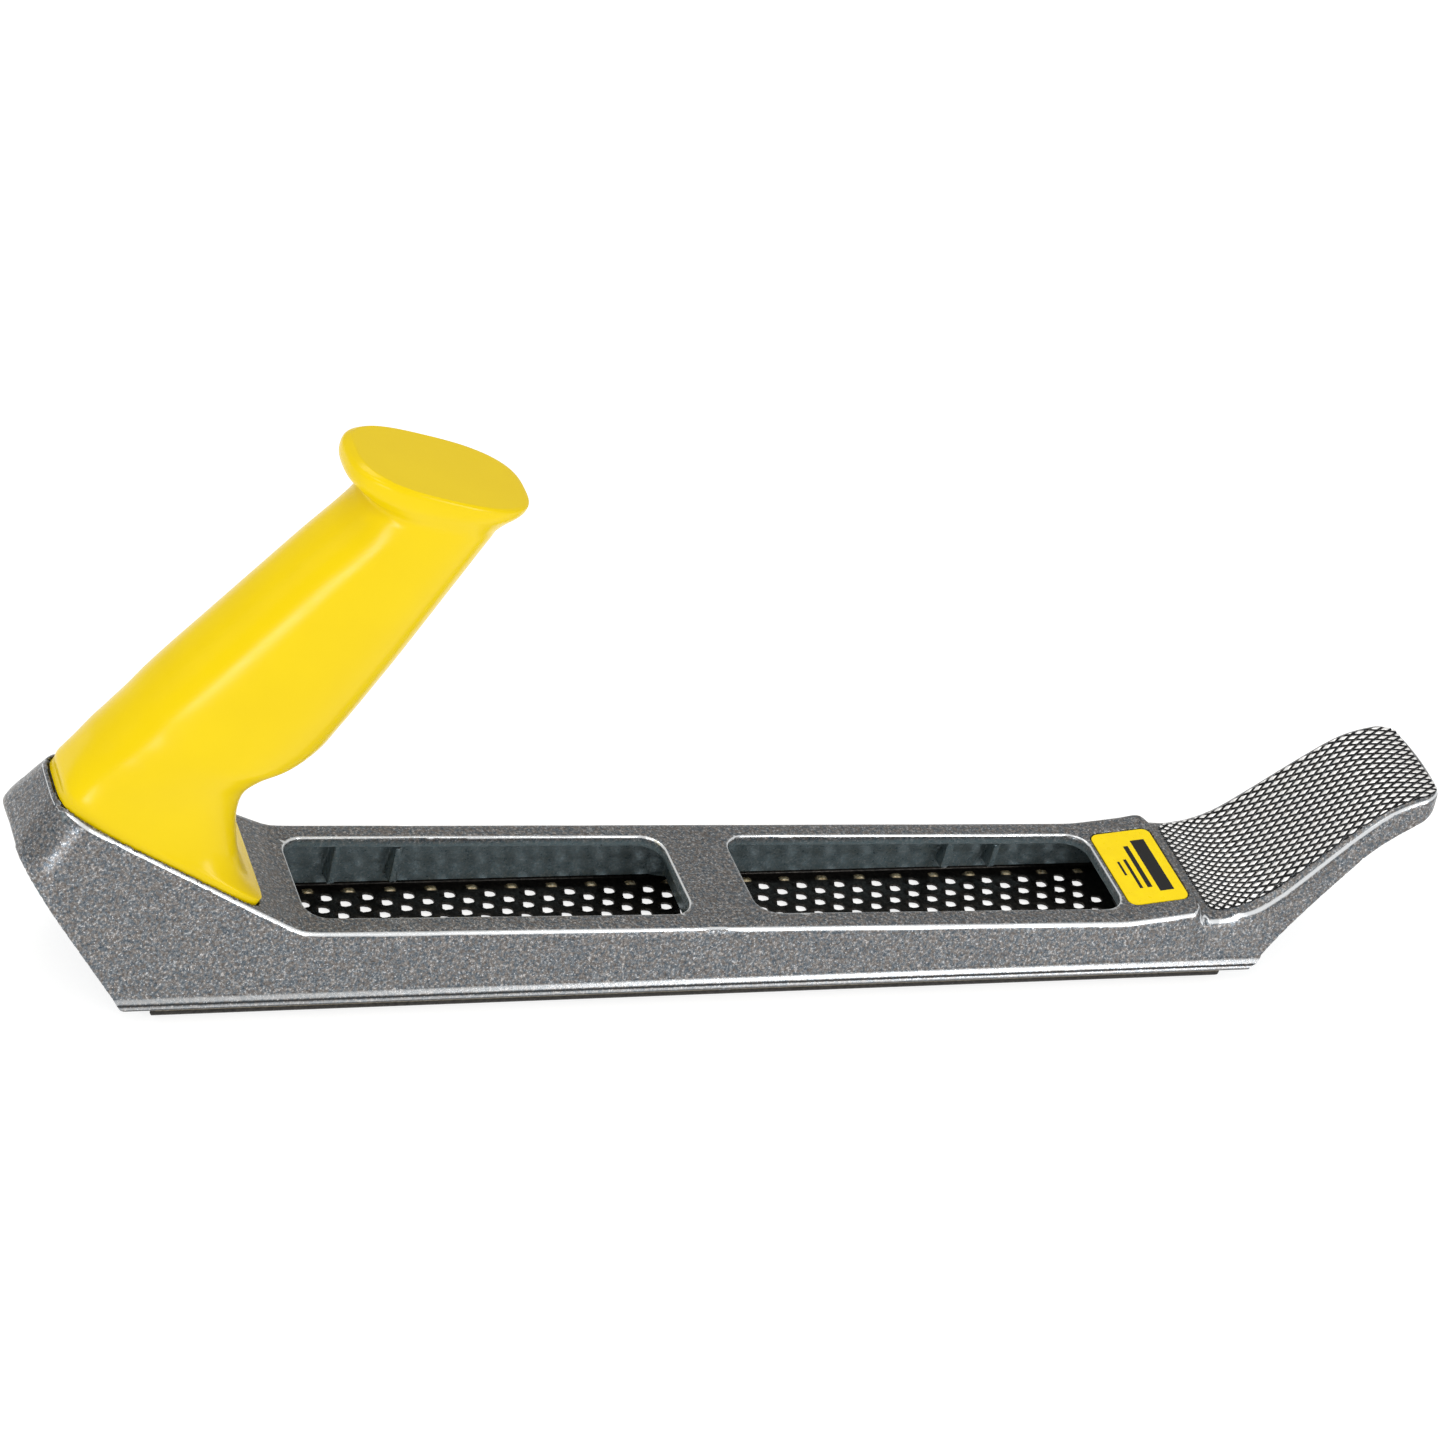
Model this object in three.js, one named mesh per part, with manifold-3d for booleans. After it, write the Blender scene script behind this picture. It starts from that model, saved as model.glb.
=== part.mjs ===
// A hand-held wood rasp: a perforated steel blade stretched under a die-cast body, with a moulded
// handle on the heel and a knurled finger rest at the toe. The blade is pulled tight by a screw and
// a sliding clamp under the toe.
//
// Millimetres, +X from heel to toe, +Z up. The tooth tips lie on Z = 0.
// Lengths below are measured along X from the heel end of the blade. The finished group is moved by
// ORIGIN_X, so that its own origin is under the middle of the tool.
import * as THREE from 'three';
import { mergeVertices } from 'three/addons/utils/BufferGeometryUtils.js';
import Module from 'manifold-3d';

const wasm = await Module();
wasm.setup();

// ---------------------------------------------------------------- driving dimensions

// Blade: a channel of sheet steel, open upwards, with a slot at each end.
const BLADE_LENGTH = 250;
const BLADE_HALF_WIDTH = 20.9;
const BLADE_THICKNESS = 0.8;
const SOLE_THICKNESS = 1.2;
const FLANGE_HEIGHT = 5.0;
const BLADE_SLOT_NEAR = 6.2;
const BLADE_SLOT_LENGTH = 8.5;
const BLADE_SLOT_HALF_WIDTH = 8;

// Tooth pattern: slanted rows of openings, each row shifted along the blade.
const HOLE_PITCH = 9.36;
const HOLE_ROW_SHIFT = 3.92;
const HOLE_ROW_STEP = 2.05;
const HOLE_FIRST_ROW_Y = 17.9;
const HOLE_ROWS = 18;
const HOLE_START_X = 70.88;
const HOLE_LENGTH = 2.3;
const HOLE_WIDTH = 1.8;
const TOOTHED_START = 18.5;
const TOOTHED_END = 231.5;

// Body casting.
const HEEL_BACK = -30;
const TOE_TIP = 298.3;
const BODY_BOTTOM = 3.8;
const WALL_FOOT_HALF_WIDTH = 22.6;
const HEEL_WALL_SLOPE = 0.245;
const HEEL_CORNER_X = -6.65;
const HEEL_BACK_Z = 35.4;
const HEEL_RIM_X = -22.3;
const HEEL_RIM_LEAN = 0.658;
const HEEL_PLAN_RADIUS = 8;
const DECK_HEIGHT_AT_ZERO = 35.6;
const DECK_SLOPE = 0.515;
const TOP_HEIGHT_AT_ZERO = 20.53;
const TOP_SLOPE = 0.0213;
const TOP_HALF_WIDTH = 18.25;
const WALL_THICKNESS = 2.6;
const TOP_THICKNESS = 3.0;
const TOP_EDGE_RADIUS = 1.5;
const BEAD_HEIGHT = 2.5;
const BEAD_PROUD = 0.5;

// Chip windows in the top, as [start, end] along X.
const WINDOWS = [[32.4, 119.4], [134.8, 225]];
const WINDOW_HALF_WIDTH = 13.4;
const WINDOW_CORNER = 5;

// Stiffening ribs on the inner walls.
const RIB_STATIONS = [46.5, 60.5, 193, 205];
const RIB_THICKNESS = 1.8;
const RIB_PROUD = 1.1;

// Label panel and finger rest.
const LABEL_START = 226.4;
const LABEL_END = 241.1;
const LABEL_HALF_WIDTH = 12.9;
const LABEL_CORNER = 2;
const LABEL_THICKNESS = 0.3;
const LABEL_POCKET_DEPTH = 0.8;
const PANEL_START = 224;
const PANEL_END = 242.4;
const PANEL_SLOPE = 0.125;

// Plan of the finger rest's tip.
const TIP_HALF_WIDTH = 15.4;
const TIP_CORNER = 4.2;
const TIP_BULGE = 1.7;
const TIP_WALL = 3.4;
const TIP_NECK_X = 286;
const TIP_ROOT_X = 255;
const TIP_ROOT_HALF_WIDTH = 26;

// Blade tension gear under the toe.
const SCREW_Z = 8.5;
const SCREW_RADIUS = 2.5;
const TOE_WEB_START = 250.8;
const TOE_WEB_THICKNESS = 3;
const CLAMP_START = 237.4;
const CLAMP_LENGTH = 7;
const CLAMP_HALF_WIDTH = 9;
const CLAMP_BOTTOM = 4.4;
const CLAMP_TOP = 12.4;
const CLAMP_CHAMFER = 1.2;
const TENSION_SCREW_END = 232.6;
const HOOK_THICKNESS = 2.8;
const HOOK_HALF_WIDTH = 6.5;
const HOOK_BOTTOM = 0.4;
const WASHER_THICKNESS = 1.0;
const WASHER_RADIUS = 5.2;
const CLIP_THICKNESS = 0.8;
const CLIP_RADIUS = 4.2;
const HEAD_HEIGHT = 3.2;
const HEAD_RADIUS = 4.6;
const SOCKET_RADIUS = 2.2;
const SOCKET_DEPTH = 2;
const SOCKET_SIDES = 6;

// Handle: the foot on the deck, from back to front, and the number of sides of its sections.
const FOOT_BACK = -21.5;
const FOOT_FRONT = 21.2;
const FOOT_HALF_WIDTH = 13.55;
const FOOT_FLARE = 0.185;
const HANDLE_SIDES = 32;

// Handle screws: where each crosses the deck, and how far it reaches into the handle.
const HANDLE_SCREWS = [{ name: 'rear', x: -9, depth: 24 }, { name: 'front', x: 5, depth: 11 }];
const DECK_RECESS = 0.8;
const BOSS_RADIUS = 5.6;
const BOSS_DEPTH = 6;
const PILOT_EXTRA_DEPTH = 3;

// Inner foot of the casting: a lip that stands inside the blade channel.
const LIP_INNER = 18.8;
const LIP_THICKNESS = 1.0;
const LIP_TOP = 9;
const TOE_WEB_TOP = 16;
const CROSS_WEB_THICKNESS = 3;
const MIDDLE_WEB_START = 125.6;
const HEEL_WEB_START = 6.5;
const HEEL_WEB_TOP = 11;

// Clearance between touching pieces.
const GAP = 0.3;

// Trimming solids reach this far, past every part of the tool.
const BEYOND = 80;

const ORIGIN_X = (HEEL_BACK + TOE_TIP) / 2;

// ---------------------------------------------------------------- solids

// A closed three.js geometry as a solid.
function solidOf(geometry) {
  const bare = geometry.index ? geometry.clone() : geometry;
  bare.deleteAttribute('normal');
  bare.deleteAttribute('uv');
  const merged = mergeVertices(bare, 1e-4);
  const mesh = new wasm.Mesh({
    numProp: 3,
    vertProperties: new Float32Array(merged.attributes.position.array),
    triVerts: new Uint32Array(merged.index.array),
  });
  return new wasm.Manifold(mesh);
}

// A solid as a three.js geometry.
function geometryOf(solid) {
  const mesh = solid.getMesh();
  const geometry = new THREE.BufferGeometry();
  geometry.setAttribute('position', new THREE.BufferAttribute(new Float32Array(mesh.vertProperties), 3));
  geometry.setIndex(new THREE.BufferAttribute(new Uint32Array(mesh.triVerts), 1));
  geometry.computeVertexNormals();
  return geometry;
}

// A box from its lowest and highest corners.
function block(low, high) {
  const size = high.map((value, i) => value - low[i]);
  const centre = high.map((value, i) => (value + low[i]) / 2);
  return solidOf(new THREE.BoxGeometry(...size).translate(...centre));
}

// A side outline, given as [x, z] points, thickened across Y from yLow to yHigh.
function sideSlab(points, yLow, yHigh) {
  const shape = new THREE.Shape(points.map(([x, z]) => new THREE.Vector2(x, z)));
  const geometry = new THREE.ExtrudeGeometry(shape, { depth: yHigh - yLow, bevelEnabled: false });
  return solidOf(geometry.rotateX(Math.PI / 2).translate(0, yHigh, 0));
}

// A plan outline thickened upwards from zLow to zHigh.
function planSlab(shape, zLow, zHigh, curveSegments = 4) {
  const settings = { depth: zHigh - zLow, bevelEnabled: false, curveSegments };
  return solidOf(new THREE.ExtrudeGeometry(shape, settings).translate(0, 0, zLow));
}

// A cross-section, given as [y, z] points, run along X from xLow to xHigh.
function runAlongX(points, xLow, xHigh) {
  const shape = new THREE.Shape(points.map(([y, z]) => new THREE.Vector2(y, z)));
  const geometry = new THREE.ExtrudeGeometry(shape, { depth: xHigh - xLow, bevelEnabled: false });
  geometry.rotateX(Math.PI / 2).rotateZ(Math.PI / 2);
  return solidOf(geometry.translate(xLow, 0, 0));
}

// Rings with the same number of points, joined into one closed skin with a flat cap on each end.
function loft(rings) {
  const count = rings[0].length;
  const positions = rings.flat().flatMap((p) => [p.x, p.y, p.z]);
  const index = [];
  for (let i = 0; i < rings.length - 1; i += 1) {
    for (let j = 0; j < count; j += 1) {
      const a = i * count + j;
      const b = i * count + ((j + 1) % count);
      index.push(a, b, b + count, a, b + count, a + count);
    }
  }
  [[0, -1], [rings.length - 1, 1]].forEach(([ring, side]) => {
    const centre = rings[ring].reduce((sum, p) => sum.clone().add(p)).divideScalar(count);
    const hub = positions.length / 3;
    positions.push(centre.x, centre.y, centre.z);
    for (let j = 0; j < count; j += 1) {
      const a = ring * count + j;
      const b = ring * count + ((j + 1) % count);
      index.push(...(side > 0 ? [a, b, hub] : [b, a, hub]));
    }
  });
  const geometry = new THREE.BufferGeometry();
  geometry.setAttribute('position', new THREE.Float32BufferAttribute(positions, 3));
  geometry.setIndex(index);
  return geometry;
}

// A solid turned from a [radius, height] profile about its own axis. The base point is moved to
// `at`, and the axis points along `direction`.
function turned(profile, at, direction, segments = 20) {
  const points = profile.map(([r, h]) => new THREE.Vector2(r, h));
  const geometry = new THREE.LatheGeometry(points, segments);
  const turn = new THREE.Quaternion().setFromUnitVectors(new THREE.Vector3(0, 1, 0), direction);
  geometry.applyQuaternion(turn).translate(at.x, at.y, at.z);
  return solidOf(geometry);
}

function rod(radius, length, at, direction, segments = 20) {
  return turned([[0, 0], [radius, 0], [radius, length], [0, length]], at, direction, segments);
}

function roundedRectangle(xLow, xHigh, halfWidth, radius) {
  const shape = new THREE.Shape();
  shape.moveTo(xLow + radius, -halfWidth);
  shape.lineTo(xHigh - radius, -halfWidth);
  shape.absarc(xHigh - radius, -halfWidth + radius, radius, -Math.PI / 2, 0);
  shape.lineTo(xHigh, halfWidth - radius);
  shape.absarc(xHigh - radius, halfWidth - radius, radius, 0, Math.PI / 2);
  shape.lineTo(xLow + radius, halfWidth);
  shape.absarc(xLow + radius, halfWidth - radius, radius, Math.PI / 2, Math.PI);
  shape.lineTo(xLow, -halfWidth + radius);
  shape.absarc(xLow + radius, -halfWidth + radius, radius, Math.PI, Math.PI * 1.5);
  return shape;
}

// ---------------------------------------------------------------- shape of the body

const deckZ = (x) => DECK_HEIGHT_AT_ZERO - DECK_SLOPE * x;
const topZ = (x) => TOP_HEIGHT_AT_ZERO - TOP_SLOPE * x;
const panelZ = (x) => topZ(PANEL_START) + PANEL_SLOPE * (x - PANEL_START);
const roundedMax = (a, b, softness) => (a + b + Math.hypot(a - b, softness)) / 2;

// The finger rest's top line, half-width and edge radius, from its root to its tip.
const REST_LINE = [
  { x: 243.2, z: 16.3, half: 18.2, edge: 2.6 },
  { x: 249, z: 16.7, half: 17.8, edge: 3.2 },
  { x: 254.5, z: 18.3, half: 17.5, edge: 3.4 },
  { x: 260, z: 21.4, half: 17.1, edge: 3.2 },
  { x: 266.2, z: 26.7, half: 16.6, edge: 2.6 },
  { x: 276, z: 35.9, half: 15.7, edge: 2.0 },
  { x: 282.8, z: 41.6, half: 15.2, edge: 1.6 },
  { x: 287.5, z: 44.2, half: 14.9, edge: 1.4 },
  { x: 293, z: 45.9, half: 14.5, edge: 1.2 },
  { x: TOE_TIP, z: 46.7, half: 14.1, edge: 1.2 },
];
const restCurve = new THREE.CatmullRomCurve3(REST_LINE.map((s) => new THREE.Vector3(s.x, s.half, s.z)));
const restEdge = new THREE.CatmullRomCurve3(REST_LINE.map((s) => new THREE.Vector3(s.x, s.edge, 0)));

// Stations along the body: the height of the top, its half-width and the radius of its edge.
function bodyStations() {
  const stations = [];
  [-42, 16, 20, 23, 26, 28.5, 31, 34, 38, 44].forEach((x) => {
    const z = roundedMax(deckZ(x), topZ(x), 0.9);
    const onSlope = WALL_FOOT_HALF_WIDTH - HEEL_WALL_SLOPE * (z - BODY_BOTTOM);
    stations.push({ x, z, half: Math.min(onSlope, TOP_HALF_WIDTH + 0.35), edge: TOP_EDGE_RADIUS });
  });
  [80, 127, 180, 216, 221, 224, 227, 231, PANEL_END - 0.9].forEach((x) => {
    const z = roundedMax(topZ(x), panelZ(x), 0.3);
    stations.push({ x, z, half: TOP_HALF_WIDTH, edge: TOP_EDGE_RADIUS });
  });
  stations.push({ x: PANEL_END, z: panelZ(PANEL_END) - 0.5, half: TOP_HALF_WIDTH, edge: TOP_EDGE_RADIUS });
  const steps = 22;
  for (let i = 0; i <= steps; i += 1) {
    const p = restCurve.getPoint(i / steps);
    stations.push({ x: p.x, z: p.z, half: p.y, edge: restEdge.getPoint(i / steps).y });
  }
  return stations;
}

// One cross-section of the body: a flat top with rounded edges, and side walls that lean in from
// the foot. `inset` gives the inner skin, and `drop` lowers its top.
function bodyRing({ x, z, half, edge }, inset, drop) {
  const floor = -12;
  const lean = (WALL_FOOT_HALF_WIDTH - half) / (z - BODY_BOTTOM);
  const topHeight = z - drop;
  const wallAt = (height) => half - inset + lean * (z - height);
  const radius = Math.max(edge - inset / 2, 0.5);
  const wallAngle = Math.atan(lean);
  const centreZ = topHeight - radius;
  const centreY = wallAt(centreZ) - radius / Math.cos(wallAngle);
  const side = [[wallAt(floor), floor]];
  const bends = 3;
  for (let i = 0; i <= bends; i += 1) {
    const angle = wallAngle + (i / bends) * (Math.PI / 2 - wallAngle);
    side.push([centreY + radius * Math.cos(angle), centreZ + radius * Math.sin(angle)]);
  }
  const far = side.map(([y, height]) => new THREE.Vector3(x, y, height));
  const near = side.map(([y, height]) => new THREE.Vector3(x, -y, height)).reverse();
  return [...far, ...near];
}

// The rounded back of the heel: a plan outline with two round corners, swept up the back face.
function heelPrism(shift, radius, halfExtra) {
  const levels = [
    { z: -14, x: HEEL_BACK },
    { z: HEEL_BACK_Z - 1, x: HEEL_BACK },
    { z: HEEL_BACK_Z + 1, x: HEEL_BACK + 0.35 },
    { z: 62, x: HEEL_RIM_X + (62 - deckZ(HEEL_RIM_X)) * HEEL_RIM_LEAN },
  ];
  const rings = levels.map(({ z, x }) => {
    const half = WALL_FOOT_HALF_WIDTH - HEEL_WALL_SLOPE * (z - BODY_BOTTOM) + halfExtra;
    const back = x + shift;
    const corner = (side) => {
      const points = [];
      for (let i = 0; i <= 5; i += 1) {
        const angle = (i / 5) * (Math.PI / 2);
        const px = back + radius - radius * Math.cos(angle);
        points.push(new THREE.Vector3(px, side * (half - radius + radius * Math.sin(angle)), z));
      }
      return points;
    };
    const front = TOE_TIP + 60;
    const nearSide = corner(-1);
    const farSide = corner(1).reverse();
    return [...nearSide, new THREE.Vector3(front, -half, z), new THREE.Vector3(front, half, z), ...farSide];
  });
  return solidOf(loft(rings));
}

// The plan of the finger rest's tip: a shallow arc with round corners, open towards the heel.
function tipSlab(inset) {
  const half = TIP_HALF_WIDTH - inset;
  const arc = TOE_TIP - inset - TIP_BULGE;
  const arcEnd = arc + TIP_BULGE / 2;
  const cornerEnd = half - TIP_CORNER - 0.8;
  const shape = new THREE.Shape();
  shape.moveTo(-BEYOND, -BEYOND);
  shape.lineTo(TIP_ROOT_X, -BEYOND);
  shape.lineTo(TIP_ROOT_X, -TIP_ROOT_HALF_WIDTH);
  shape.lineTo(TIP_NECK_X - inset, -half - 0.9);
  shape.lineTo(arc - TIP_CORNER, -half + 0.6);
  shape.quadraticCurveTo(arc, -half + 0.9, arcEnd, -cornerEnd);
  shape.quadraticCurveTo(arcEnd + TIP_BULGE, 0, arcEnd, cornerEnd);
  shape.quadraticCurveTo(arc, half - 0.9, arc - TIP_CORNER, half - 0.6);
  shape.lineTo(TIP_NECK_X - inset, half + 0.9);
  shape.lineTo(TIP_ROOT_X, TIP_ROOT_HALF_WIDTH);
  shape.lineTo(TIP_ROOT_X, BEYOND);
  shape.lineTo(-BEYOND, BEYOND);
  return planSlab(shape, -BEYOND, BEYOND, 6);
}

// The side outline that trims the body from below: sloped heel, level foot, and the underside of
// the finger rest.
function bodySideOutline() {
  const restUnderside = [
    [256.4, BODY_BOTTOM], [258.3, 6.0], [267.3, 16.7], [276.8, 27.4], [280.4, 31.4], [283.6, 34.2],
    [287, 36.6], [291, 38.9], [296.4, 41.8], [300, 43.4],
  ];
  const outline = [
    [HEEL_CORNER_X, BODY_BOTTOM], ...restUnderside, [300, BEYOND], [HEEL_BACK - 2, BEYOND],
    [HEEL_BACK - 2, HEEL_BACK_Z + 2.7],
  ];
  return sideSlab(outline, -BEYOND, BEYOND);
}

// The axis of the tension screw, and the points on it.
const ALONG_X = new THREE.Vector3(1, 0, 0);
const atScrew = (x) => new THREE.Vector3(x, 0, SCREW_Z);

// The normal of the deck that carries the handle, and points above or below it.
const deckNormal = new THREE.Vector3(DECK_SLOPE, 0, 1).normalize();
const onDeck = (x, lift = 0) => new THREE.Vector3(x, 0, deckZ(x)).addScaledVector(deckNormal, lift);

function deckPoint(x, lift) {
  const point = onDeck(x, lift);
  return [point.x, point.z];
}

// Each row is one section of the handle: the back and front ends of its chord in the X-Z plane,
// its half-width, how much wider it grows towards the front, and how square its back and front are.
const HANDLE_ROWS = [
  { back: deckPoint(FOOT_BACK, GAP - DECK_RECESS), front: deckPoint(FOOT_FRONT, GAP - DECK_RECESS),
    half: FOOT_HALF_WIDTH, grow: FOOT_FLARE, square: [4.5, 12] },
  { back: deckPoint(FOOT_BACK, 0.9), front: deckPoint(FOOT_FRONT, 1.3), half: FOOT_HALF_WIDTH,
    grow: FOOT_FLARE, square: [4.5, 12] },
  { back: [-20.9, 49.3], front: [19.0, 28.4], half: 13.1, grow: 0.12, square: [3.8, 6] },
  { back: [-19.9, 51.4], front: [17.5, 32.2], half: 12.8, grow: 0.06, square: [3.3, 4] },
  { back: [-18.6, 53.7], front: [16.7, 36.8], half: 12.7, grow: 0.03, square: [2.9, 3.2] },
  { back: [-17.1, 56.2], front: [16.4, 42.4], half: 12.8, grow: 0, square: [2.6, 2.6] },
  { back: [-15.6, 58.6], front: [17.8, 47.2], half: 13.0, grow: 0, square: [2.4, 2.3] },
  { back: [-14.0, 60.8], front: [21.8, 50.6], half: 13.2, grow: 0, square: [2.3, 2.2] },
  { back: [-12.2, 63.2], front: [27.6, 53.6], half: 13.3, grow: 0, square: [2.3, 2.2] },
  { back: [-10.0, 66.2], front: [32.0, 57.8], half: 13.3, grow: 0, square: [2.3, 2.2] },
  { back: [-6.5, 71.2], front: [35.4, 64.0], half: 13.2, grow: 0, square: [2.3, 2.3] },
  { back: [6.2, 87.0], front: [43.6, 79.6], half: 12.7, grow: 0, square: [2.3, 2.3] },
  { back: [19.0, 102.8], front: [51.6, 95.9], half: 12.0, grow: 0, square: [2.3, 2.3] },
  { back: [29.6, 115.8], front: [58.4, 109.9], half: 11.5, grow: 0, square: [2.3, 2.3] },
  { back: [30.5, 118.0], front: [59.6, 112.2], half: 11.5, grow: 0, square: [2.3, 2.3] },
  { back: [28.0, 120.2], front: [61.6, 114.2], half: 12.0, grow: 0, square: [2.4, 2.4] },
  { back: [25.7, 122.8], front: [63.5, 116.0], half: 12.6, grow: 0, square: [2.6, 2.6] },
  { back: [25.4, 125.0], front: [64.2, 117.2], half: 12.7, grow: 0, square: [2.7, 2.7] },
  { back: [26.3, 126.6], front: [64.1, 118.2], half: 12.4, grow: 0, square: [2.8, 2.8] },
  { back: [27.6, 127.0], front: [63.4, 118.5], half: 12.0, grow: 0, square: [2.8, 2.8] },
];

function handleRing({ back, front, half, grow, square }) {
  const points = [];
  for (let i = 0; i < HANDLE_SIDES; i += 1) {
    const angle = (i / HANDLE_SIDES) * Math.PI * 2;
    const c = Math.cos(angle);
    const s = Math.sin(angle);
    const power = 2 / (c < 0 ? square[0] : square[1]);
    const along = Math.sign(c) * Math.abs(c) ** power;
    const across = Math.sign(s) * Math.abs(s) ** power;
    const share = (1 + along) / 2;
    const x = back[0] + (front[0] - back[0]) * share;
    const z = back[1] + (front[1] - back[1]) * share;
    points.push(new THREE.Vector3(x, across * half * (1 + grow * along), z));
  }
  return points;
}

// ---------------------------------------------------------------- body casting

const stations = bodyStations();
const skin = (inset, drop) => solidOf(loft(stations.map((s) => bodyRing(s, inset, drop))));
const LIP_BOTTOM = SOLE_THICKNESS + GAP;

// A slab across the full width of the body, from one X to another.
const crossSlab = (xLow, xHigh, zLow, zHigh) => block([xLow, -BEYOND, zLow], [xHigh, BEYOND, zHigh]);

// Outer shape: the lofted skin, trimmed to the side outline, the round heel and the round tip.
function bodyOuter() {
  return skin(0, 0).intersect(bodySideOutline()).intersect(heelPrism(0, HEEL_PLAN_RADIUS, 0.12))
    .intersect(tipSlab(0));
}

// Hollow of the casting, open downwards along its whole length.
function bodyHollow() {
  return skin(WALL_THICKNESS, TOP_THICKNESS)
    .intersect(heelPrism(WALL_THICKNESS + 0.5, HEEL_PLAN_RADIUS - 2, 2))
    .intersect(tipSlab(TIP_WALL));
}

// The rounded bead along the foot of each side wall.
function footBeads() {
  const outer = WALL_FOOT_HALF_WIDTH;
  const top = BODY_BOTTOM + BEAD_HEIGHT;
  const profile = [
    [outer - 1.2, BODY_BOTTOM], [outer + BEAD_PROUD - 0.2, BODY_BOTTOM],
    [outer + BEAD_PROUD, BODY_BOTTOM + 0.3], [outer + BEAD_PROUD, top - 0.6],
    [outer + BEAD_PROUD - 0.35, top - 0.1], [outer - 1.2, top + 0.2],
  ];
  const far = runAlongX(profile, -20, TOE_TIP);
  return far.add(far.mirror([0, 1, 0])).intersect(bodySideOutline());
}

// Lips inside the blade channel, with the webs that brace them and the fixed heel hook.
function innerFoot(outer) {
  const lip = block([1, LIP_INNER, LIP_BOTTOM], [BLADE_LENGTH - 1, LIP_INNER + LIP_THICKNESS, LIP_TOP]);
  const webHalf = LIP_INNER + LIP_THICKNESS / 2;
  const middle = block([MIDDLE_WEB_START, -webHalf, LIP_BOTTOM],
    [MIDDLE_WEB_START + CROSS_WEB_THICKNESS, webHalf, topZ(MIDDLE_WEB_START) - 1]);
  const heel = block([HEEL_WEB_START, -webHalf, LIP_BOTTOM],
    [HEEL_WEB_START + CROSS_WEB_THICKNESS, webHalf, HEEL_WEB_TOP]);
  const hook = block([HEEL_WEB_START, -HOOK_HALF_WIDTH, HOOK_BOTTOM],
    [HEEL_WEB_START + HOOK_THICKNESS, HOOK_HALF_WIDTH, HEEL_WEB_TOP - 1]);
  const toe = crossSlab(TOE_WEB_START, TOE_WEB_START + TOE_WEB_THICKNESS, BODY_BOTTOM + 0.6,
    TOE_WEB_TOP).intersect(outer);
  return lip.add(lip.mirror([0, 1, 0])).add(middle.intersect(outer.add(heel))).add(heel).add(hook).add(toe);
}

// Shallow vertical ribs on both inner walls.
function wallRibs(outer) {
  const clear = skin(WALL_THICKNESS + RIB_PROUD, TOP_THICKNESS);
  return RIB_STATIONS.reduce((all, x) => {
    const slab = crossSlab(x - RIB_THICKNESS / 2, x + RIB_THICKNESS / 2, LIP_TOP - 2, topZ(x) - 1);
    return all.add(slab.intersect(outer).subtract(clear));
  }, wasm.Manifold.union([]));
}

// Bosses under the deck that take the handle screws.
function deckBosses(radius, from, to) {
  const rods = HANDLE_SCREWS.map(({ x }) => rod(radius, to - from, onDeck(x, from), deckNormal, 16));
  return wasm.Manifold.union(rods);
}

// The recess that locates the foot of the handle.
function deckRecess() {
  const start = handleRing({ ...HANDLE_ROWS[0], back: deckPoint(FOOT_BACK - GAP, -DECK_RECESS),
    front: deckPoint(FOOT_FRONT + GAP, -DECK_RECESS), half: FOOT_HALF_WIDTH + GAP });
  const end = start.map((p) => p.clone().addScaledVector(deckNormal, 6));
  return solidOf(loft([start, end]));
}

// A rounded slab lying on the label panel: `extra` grows its outline, `from` and `to` are heights.
function onPanel(extra, from, to) {
  const halfLength = (LABEL_END - LABEL_START) / 2 + extra;
  const outline = roundedRectangle(-halfLength, halfLength, LABEL_HALF_WIDTH + extra, LABEL_CORNER);
  const middle = (LABEL_START + LABEL_END) / 2;
  const settings = { depth: to - from, bevelEnabled: false, curveSegments: 4 };
  const geometry = new THREE.ExtrudeGeometry(outline, settings).translate(0, 0, from);
  geometry.rotateY(-Math.atan(PANEL_SLOPE)).translate(middle, 0, panelZ(middle));
  return solidOf(geometry);
}

function bodyCasting() {
  const outer = bodyOuter();
  const bladeGroove = block([-3, LIP_INNER + LIP_THICKNESS, -2],
    [BLADE_LENGTH + 3, BLADE_HALF_WIDTH + GAP, FLANGE_HEIGHT + GAP]);
  const windows = WINDOWS.map(([start, end]) => (
    planSlab(roundedRectangle(start, end, WINDOW_HALF_WIDTH, WINDOW_CORNER), 11, 40)));
  const screwHole = rod(SCREW_RADIUS + GAP, 12, atScrew(TOE_WEB_START - 4), ALONG_X);
  let solid = outer.add(footBeads()).subtract(bodyHollow());
  solid = solid.add(innerFoot(outer)).add(wallRibs(outer));
  solid = solid.add(deckBosses(BOSS_RADIUS, -BOSS_DEPTH, -DECK_RECESS - 0.5));
  solid = solid.subtract(bladeGroove).subtract(bladeGroove.mirror([0, 1, 0]));
  windows.forEach((hole) => {
    solid = solid.subtract(hole);
  });
  solid = solid.subtract(deckRecess()).subtract(deckBosses(SCREW_RADIUS + GAP, -BOSS_DEPTH - 2, 3));
  return solid.subtract(onPanel(GAP, -LABEL_POCKET_DEPTH, 3)).subtract(screwHole);
}

// ---------------------------------------------------------------- blade

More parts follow.
